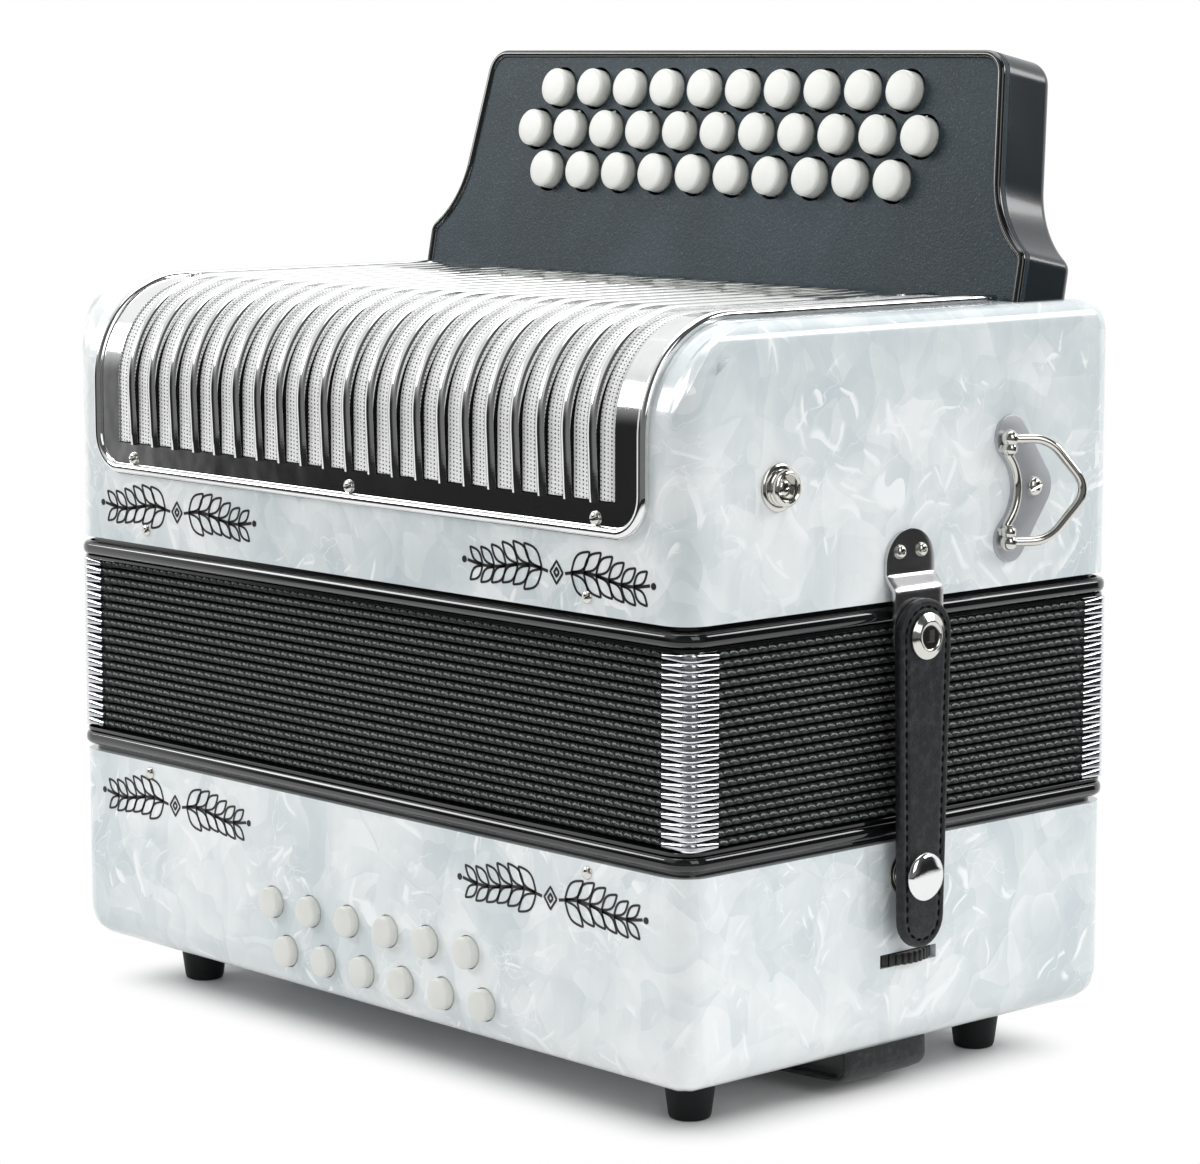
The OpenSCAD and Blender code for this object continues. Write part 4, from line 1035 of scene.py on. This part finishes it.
# ---- Strap rings and their plates ----
ring = {"wire": 3.1, "span": 33.1, "leg": 13.0, "reach": 26.4, "angle": 34.0, "y": 40.8, "up": 31.5,
        "out": 4.25, "bend": 7.0, "knob": 2.8, "pin": 5.2, "eyeIn": 3.1}
ringZ = trebleLow.z + ring["up"]
h, pin = ring["span"] / 2, ring["pin"]
for side, name in ((1, "right"), (-1, "left")):
    bm = wire([(0, 0, h - pin), (0, 0, h), (ring["leg"], 0, h), (ring["reach"], 0, 0), (ring["leg"], 0, -h),
               (0, 0, -h), (0, 0, pin - h)], ring["wire"], ring["bend"])
    for end in (-1, 1):
        knob = bmesh.new()
        bmesh.ops.create_uvsphere(knob, u_segments=24, v_segments=14, radius=ring["knob"])
        put(bm, knob, shift(0, 0, end * (h + 0.2)))
    moved(bm, Matrix.Diagonal((side, 1, 1, 1)) @ shift(endX + ring["out"], ring["y"], ringZ)
          @ Matrix.Rotation(radians(90 - ring["angle"]), 4, "Z"))
    piece(f"strapRing_{name}", bm, f"ring_{name}", [nickel], [f"strap_ring_{name}"])

ringPlate = {"lobe": 4.5, "lobeR": 7.3, "bulge": 16.0, "bulgeR": 8.0, "hollow": -8.7, "screwY": 15.3,
             "lip": 3.0, "lipHalf": 11.6}


def plateOutline(inset):                           # lobes behind the eyes, a bulge and a hollow between
    p = ringPlate
    side = (p["bulge"] - p["lobe"], -h)
    edge = degrees(atan2(side[1], side[0]) + acos((p["lobeR"] - p["bulgeR"]) / hypot(*side)))
    touch = degrees(atan2(h, p["lobe"] - p["hollow"]))
    hollowR = hypot(h, p["lobe"] - p["hollow"]) - p["lobeR"] + inset
    left = (arcPoints(p["lobe"], h, p["lobeR"] - inset, edge, 180 + touch, 14) + arcPoints(
        p["hollow"], 0, hollowR, touch - 3, 3 - touch, 12) + arcPoints(
        p["lobe"], -h, p["lobeR"] - inset, 180 - touch, 360 - edge, 14))
    return arcPoints(p["bulge"], 0, p["bulgeR"] - inset, -edge, edge, 8), left


bulge, rest = plateOutline(0)
plateTop = strap["bracket"]
bm = slab(bulge + rest, 0.05, plateTop + 0.05)
rounded(bm, edgesAt(bm, plateTop + 0.05), 0.3, 2)
hollow = plateOutline(ringPlate["lip"] / 2)[1]
lip = [(y, z, plateTop + 0.7) for y, z in hollow if abs(z) < ringPlate["lipHalf"]]
lip = [(0.2, h - 0.8, plateTop + 1.6), *lip, (0.2, 0.8 - h, plateTop + 1.6)]
put(bm, wire(lip, ringPlate["lip"], 1.0), finish=1)
for eyeZ in (ring["eyeIn"] - h, h - ring["eyeIn"]):
    eye = turned([(1.62, -1.4), (2.0, -1.5), (2.4, -1.0), (2.5, 0), (2.4, 1.0), (2.0, 1.5), (1.62, 1.4),
                  (1.62, -1.4)], 24)
    put(bm, eye, shift(0, eyeZ, ring["out"]) @ Matrix.Rotation(pi / 2, 4, "X"), 1)
    put(bm, block((-1.8, eyeZ - 1.2, 0.8), (1.8, eyeZ + 1.2, ring["out"] - 1.6), 0.4), finish=1)
put(bm, screwHead(6.4, 2.1), shift(ringPlate["screwY"], 0, plateTop + 0.06), 1)
piece("ringPlates", bothEnds(moved(bm, onEnd(ring["y"], ringZ))), "treble_side", [satin, nickel], ())

# ---- Screws and pins ----
screws = {"d": 4.4, "h": 1.3, "up": 5.8, "in": 6.0, "spread": 119.1, "pinX": 114.0, "pinD": 4.2, "pinH": 1.1}
bm = bmesh.new()
for x in (-screws["spread"], 0, screws["spread"]):
    put(bm, screwHead(screws["d"], screws["h"]), onFront(x, grilleZ + screws["up"], grille["sheet"] + 0.05))
side = grille["length"] / 2 - screws["in"]
for x in (-side, side):
    for y in (frontY + frontR + 4, grilleBack - grille["rimWidth"] - 3):
        put(bm, screwHead(screws["d"] * 0.9, screws["h"]), onTop(x, y, grille["sheet"] + 0.05))
piece("grilleScrews", bm, "treble_side", [nickel], ())
for side, z in (("treble", trebleLow.z + 5.2), ("bass", bassHigh.z - 3.8)):
    bm = bmesh.new()
    for x in (-screws["pinX"], screws["pinX"]):
        for turn in (0, pi):
            at = Matrix.Rotation(turn, 4, "Z") @ onFront(x, z, 0.05)
            put(bm, screwHead(screws["pinD"], screws["pinH"]), at)
    piece(side + "Pins", bm, side + "_side", [nickel], ())

# ---- Wheel, feet and hand strap ----
wheel = {"d": 40.0, "ribs": 48, "rib": 0.7, "bore": 3.2, "hub": 6.0, "rodHead": 4.2, "rodR": 3.0, "rodTop": 58.6}
tooth = ((0.0, wheel["rib"]), (0.3, wheel["rib"]), (0.42, 0.1), (0.58, 0.0), (0.74, 0.0), (0.88, 0.1))
outline = []
for k in range(wheel["ribs"]):
    for share, deep in tooth:
        c, sn = heading((k + share) * 360 / wheel["ribs"])
        outline.append(((wheel["d"] / 2 - deep) * c, (wheel["d"] / 2 - deep) * sn))
onWheel = shift(wheelMid.x, wheelMid.y, 0)
bm = slab(outline, wheelLow.z, wheelHigh.z, 0.35, 2, keepBack=False)
low, high, bore, hub = wheelLow.z - 0.2, wheelHigh.z + 0.2, wheel["bore"], wheel["hub"]
put(bm, turned([(bore, low), (hub, low), (hub, high), (bore, high)], 24))
piece("strapWheel", moved(bm, onWheel), "wheel", [plastic], ["strap_wheel"])
base, wide, r, top = bassLow.z + 6, wheel["rodHead"], wheel["rodR"], wheel["rodTop"]
bm = turned([(0, base), (wide, base), (wide, base + 2), (r, base + 2.3), (r, top), (0, top)], 24)
moved(bm, onWheel)
hand = {"middle": 58.0, "end": 38.0, "thick": 5.0, "turn": 4.0, "seam": 4.0, "seamDeep": 0.32,
        "plateAt": 134.0, "plateHalf": 7.0, "plateIn": 20.0, "plateThick": 1.5}
handLow, handHigh = boxOf("hand_strap")
top = bassLow.z - 0.05
for x in (-hand["plateAt"], hand["plateAt"]):      # the hand strap's end plates
    put(bm, block((x - hand["plateHalf"], handLow.y + hand["plateIn"], top - hand["plateThick"]),
                  (x + hand["plateHalf"], handHigh.y - hand["plateIn"], top), 0.3))
piece("wheelRod", bm, "bass_side", [nickel], ())

feetLow, feetHigh = boxOf("feet")
foot = {"r": 9.0, "well": 2.8, "deep": 3.5}
high, r = feetHigh.z, foot["r"]
footProfile = [(0, foot["deep"]), (foot["well"], foot["deep"]), (foot["well"], 0.2), (3.2, 0), (5.7, 0),
               (6.5, 0.4), (6.9, 1.4), (8.5, high - 2.6), (r, high - 2.0), (r, high), (0, high)]
bm = bmesh.new()
for x in (feetLow.x + r, feetHigh.x - r):
    for y in (feetLow.y + r, feetHigh.y - r):
        put(bm, turned(footProfile, 36), shift(x, y, 0))
        put(bm, screwHead(5, 1.2), shift(x, y, foot["deep"]) @ Matrix.Rotation(pi, 4, "X"), 1)
piece("feetRubber", bm, "bass_side", [rubber, nickel], ["feet"])

handY, handX = (handLow.y + handHigh.y) / 2, handHigh.x


def handStrap():                                   # a flat padded band, turned up into the case at both ends
    t, turn = hand["thick"], hand["turn"]
    path = [(handX - t / 2 - 0.6, bassLow.z - 0.2, 0.0), (handX - t / 2 - 0.4, handLow.z + 6, 0.1)]
    bend = arcPoints(handX - t / 2 - turn - 0.4, handLow.z + t / 2 + turn, turn, 0, -90, 5)
    path += [(x, z, 0.2) for x, z in bend]
    path += [((handX - 12) * (1 - i / 12), handLow.z + t / 2, min(1, 0.3 + i / 8)) for i in range(13)]
    path += [(-x, z, full) for x, z, full in reversed(path[:-1])]
    count = len(path) - 1

    def place(i, k):
        x, z, full = path[i]
        ahead, behind = path[min(i + 1, count)], path[max(i - 1, 0)]
        dx, dz = ahead[0] - behind[0], ahead[1] - behind[1]
        share = min(1, max(0, (handX - abs(x)) / (handX * 0.55)))
        halfW = (hand["end"] + (hand["middle"] - hand["end"]) * share) / 2 - 0.5
        c, sn = heading(9 * k)
        across = squared(c, 0.35)
        out = squared(sn, 0.75) * (t / 2 - 0.15) * (0.62 + 0.38 * full) / hypot(dx, dz)
        out *= 1 - hand["seamDeep"] * exp(-((1 - abs(across)) * halfW - hand["seam"]) ** 2 / 1.2) * full
        return (x + dz * out, handY + across * halfW, z - dx * out)
    return capped(gridPiece(count, 40, place))


pad = piece("handStrapPad", handStrap(), "bass_side", [leather], ["hand_strap"], 60)
print("fittings ready")

# ---- Ornament on the front ----
sprig = {"stem": 1.0, "leaf": 10.5, "leafWide": 2.4, "leaves": 6, "lean": 40, "sway": 1.1, "line": 0.75,
         "high": 0.12, "gap": 4.0, "dot": 1.1}


def stroke(bm, points, width):                     # an inked line, a little proud of the case
    count = len(points) - 1

    def place(i, k):
        a, b = points[max(i - 1, 0)], points[min(i + 1, count)]
        dx, dy = b[0] - a[0], b[1] - a[1]
        w = width * (k - 0.5) / (hypot(dx, dy) or 1)
        return (points[i][0] - dy * w, points[i][1] + dx * w, 0.03)
    line = gridPiece(count, 1, place)
    raised(line, sprig["high"])
    put(bm, line)


def leafShape(x, y, angle, size):
    c, sn = heading(angle)
    points = []
    for k in range(25):
        t = tau * k / 24
        u = (1 - cos(t)) / 2
        w = sin(t) * sprig["leafWide"] * size * (0.35 + 0.65 * sin(pi * u))
        u *= sprig["leaf"] * size
        points.append((x + c * u - sn * w, y + sn * u + c * w))
    return points


def ornament(x0, x1, z):                           # a leafy sprig each way from a small lozenge
    bm = bmesh.new()
    middle, run, gap = (x0 + x1) / 2, (x1 - x0) / 2, sprig["gap"]
    sway = lambda x: sprig["sway"] * sin((x - gap) / (run - gap) * tau)
    for way in (-1, 1):
        stem = [gap + (run - gap) * k / 30 for k in range(31)]
        stroke(bm, [(middle + way * x, sway(x)) for x in stem], sprig["stem"])
        for k in range(sprig["leaves"]):
            x = 7 + (run - 14) * k / (sprig["leaves"] - 1)
            for up in (-1, 1):
                leaf = leafShape(x, sway(x) + up * 0.4, up * sprig["lean"], 1 - 0.35 * k / sprig["leaves"])
                stroke(bm, [(middle + way * p[0], p[1]) for p in leaf], sprig["line"])
        put(bm, slab(arcPoints(middle + way * (run + 1.6), 0, sprig["dot"], 0, 342, 19), 0.03, 0.15))
    for size in (3.6, 1.4):
        wide = size * 0.8
        corner = [(middle + wide, 0), (middle, size), (middle - wide, 0), (middle, -size), (middle + wide, 0)]
        line = [(a[0] + (b[0] - a[0]) * k / 6, a[1] + (b[1] - a[1]) * k / 6)
                for a, b in zip(corner, corner[1:]) for k in range(6)]
        stroke(bm, line + corner[:1], sprig["line"])
    return moved(bm, onFront(0, z))


for name, body, x0, x1, z in (("sprigUpperLeft", "treble_side", -138, -54, trebleLow.z + 13),
                              ("sprigUpperRight", "treble_side", 58, 142, trebleLow.z + 11.5),
                              ("sprigLowerLeft", "bass_side", -140, -59, bassHigh.z - 13.5),
                              ("sprigLowerRight", "bass_side", 55, 139, bassHigh.z - 14.5)):
    piece(name, ornament(x0, x1, z), body, [inkBlack])
for node in ("treble_soundboard", "bass_soundboard"):
    for slotted in bpy.data.objects[node].material_slots:
        slotted.material = wood
print("ornament ready")

# ---- Floor, light and camera ----
stage = {"floor": 0.80, "near": 0.02, "under": 0.028, "reach": 0.032, "paper": 0.5, "radius": 1.1,
         "roomLow": 0.02, "roomFront": 0.17, "roomHigh": 0.75}
view = {"place": (0.98431, -0.89319, 0.3319), "azimuth": 47.6056, "elevation": 7.7755, "focal": 3888.67,
        "centre": (586.93, 584.005), "width": 1200, "height": 1164, "sensor": 36}
toView = (0.738, -0.674, 0.0)                      # level, from the object to the camera


def shownShares(nodes):                            # camera rays, and rays that metal and gloss send out
    path = nodes.node("ShaderNodeLightPath").socket.node.outputs
    rays = [Value(nodes, path[f"Is {kind} Ray"]) for kind in ("Camera", "Glossy", "Transmission")]
    return rays[0], rays[1].math("MAXIMUM", rays[2])


f = Finish("studioFloor", rough=0.6)
f.set("color", f.mix(f.noise(60, 3), stage["floor"], stage["floor"] * 0.985))
beyond = [(f.split(f.place, axis).size() - (side * mm - stage["under"])).math("MAXIMUM", 0.0)
          for axis, side in ((0, caseL / 2), (1, caseD / 2))]
away = (beyond[0] * beyond[0] + beyond[1] * beyond[1]) ** 0.5
seen, mirrored = shownShares(f)
ahead = f.vector("DOT_PRODUCT", f.place, toView, out="Value")
ends = f.vector("LENGTH", f.place, out="Value").step(stage["paper"], stage["paper"] * 1.5)
dark = mirrored * (ends * (ahead + 0.25).step(0.0, 0.2))      # the paper ends before the camera and beside it
glow = f.node("ShaderNodeEmission", Color=f.mix(dark, 1.0, stage["roomLow"]), Strength=1.0)
lit = (seen + mirrored) * (away.step(0.0, stage["reach"]) * (1 - stage["near"]) + stage["near"])
blendShade = f.node("ShaderNodeMixShader", {}, lit.math("MAXIMUM", dark))
f.tree.links.new(f.shader.outputs[0], blendShade.socket.node.inputs[1])
f.join(blendShade.socket.node.inputs[2], glow)
f.join(f.tree.nodes["Material Output"].inputs[0], blendShade)
bm = bmesh.new()
bmesh.ops.create_circle(bm, cap_ends=True, segments=96, radius=stage["radius"] / mm)
floor = piece("studioFloor", bm, None, [f.material])

world = bpy.data.worlds.new("studio")
scene.world = world
world.use_nodes = True
w = Nodes(world.node_tree)
way = w.node("ShaderNodeTexCoord", out="Generated")
up = w.split(way, 2)
sky = w.node("ShaderNodeValToRGB", {"stops": [(0.0, 0.01), (0.5, 0.16), (0.75, 0.55)]}, up * 1.0 + 0.5)
facing = w.vector("DOT_PRODUCT", way, toView, out="Value")
front = w.mix(facing.step(0.25, 0.75), stage["roomLow"], stage["roomFront"])
high = w.mix(w.split(way, 0).step(-0.15, 0.2), stage["roomHigh"], stage["roomHigh"] * 0.12)
room = w.mix(up.step(0.0, 0.55), front, high)
behind = (facing * -1).step(0.16, 0.36)
seen, mirrored = shownShares(w)                    # the white backdrop stands behind, the room is dark in front
shown = w.mix(seen + mirrored * behind, w.mix(mirrored, sky, room), 1.0)
w.join(w.tree.nodes["Background"].inputs[0], shown)


def aimed(name, data, at, back):                   # a lamp or camera whose back points along that vector
    made = bpy.data.objects.new(name, data)
    scene.collection.objects.link(made)
    made.location = at
    made.rotation_euler = Vector(back).to_track_quat("Z", "Y").to_euler()
    return made


lamps = {"topLight": ((-0.2, 0.2, 1.7), (0, 0, 0.2), (1.6, 1.4), 18.0),      # place, aim, size and power
         "leftLight": ((-1.3, -1.0, 0.9), (0, 0, 0.15), (0.9, 0.5), 11.2),
         "rightLight": ((1.7, -0.3, 1.0), (0, 0, 0.15), (0.9, 1.3), 6.5),
         "backLight": ((1.0, 1.15, 0.95), (0, 0, 0.15), (0.8, 0.42), 7.5)}
for name, (at, aim, size, power) in lamps.items():
    data = bpy.data.lights.new(name, "AREA")
    data.shape, data.size, data.size_y, data.energy = "RECTANGLE", size[0], size[1], power
    aimed(name, data, at, Vector(at) - Vector(aim))

data = bpy.data.cameras.new("camera")
data.sensor_width, data.lens = view["sensor"], view["focal"] * view["sensor"] / view["width"]
data.shift_x = (view["width"] / 2 - view["centre"][0]) / view["width"]
data.shift_y = (view["centre"][1] - view["height"] / 2) / view["width"]
data.clip_start, data.clip_end = 0.05, 30
(east, north), (flat, up) = heading(view["azimuth"] - 90), heading(view["elevation"])
camera = aimed("camera", data, view["place"], (east * flat, north * flat, up))
scene.camera = camera
scene.view_settings.view_transform = "Standard"

print("scene ready")
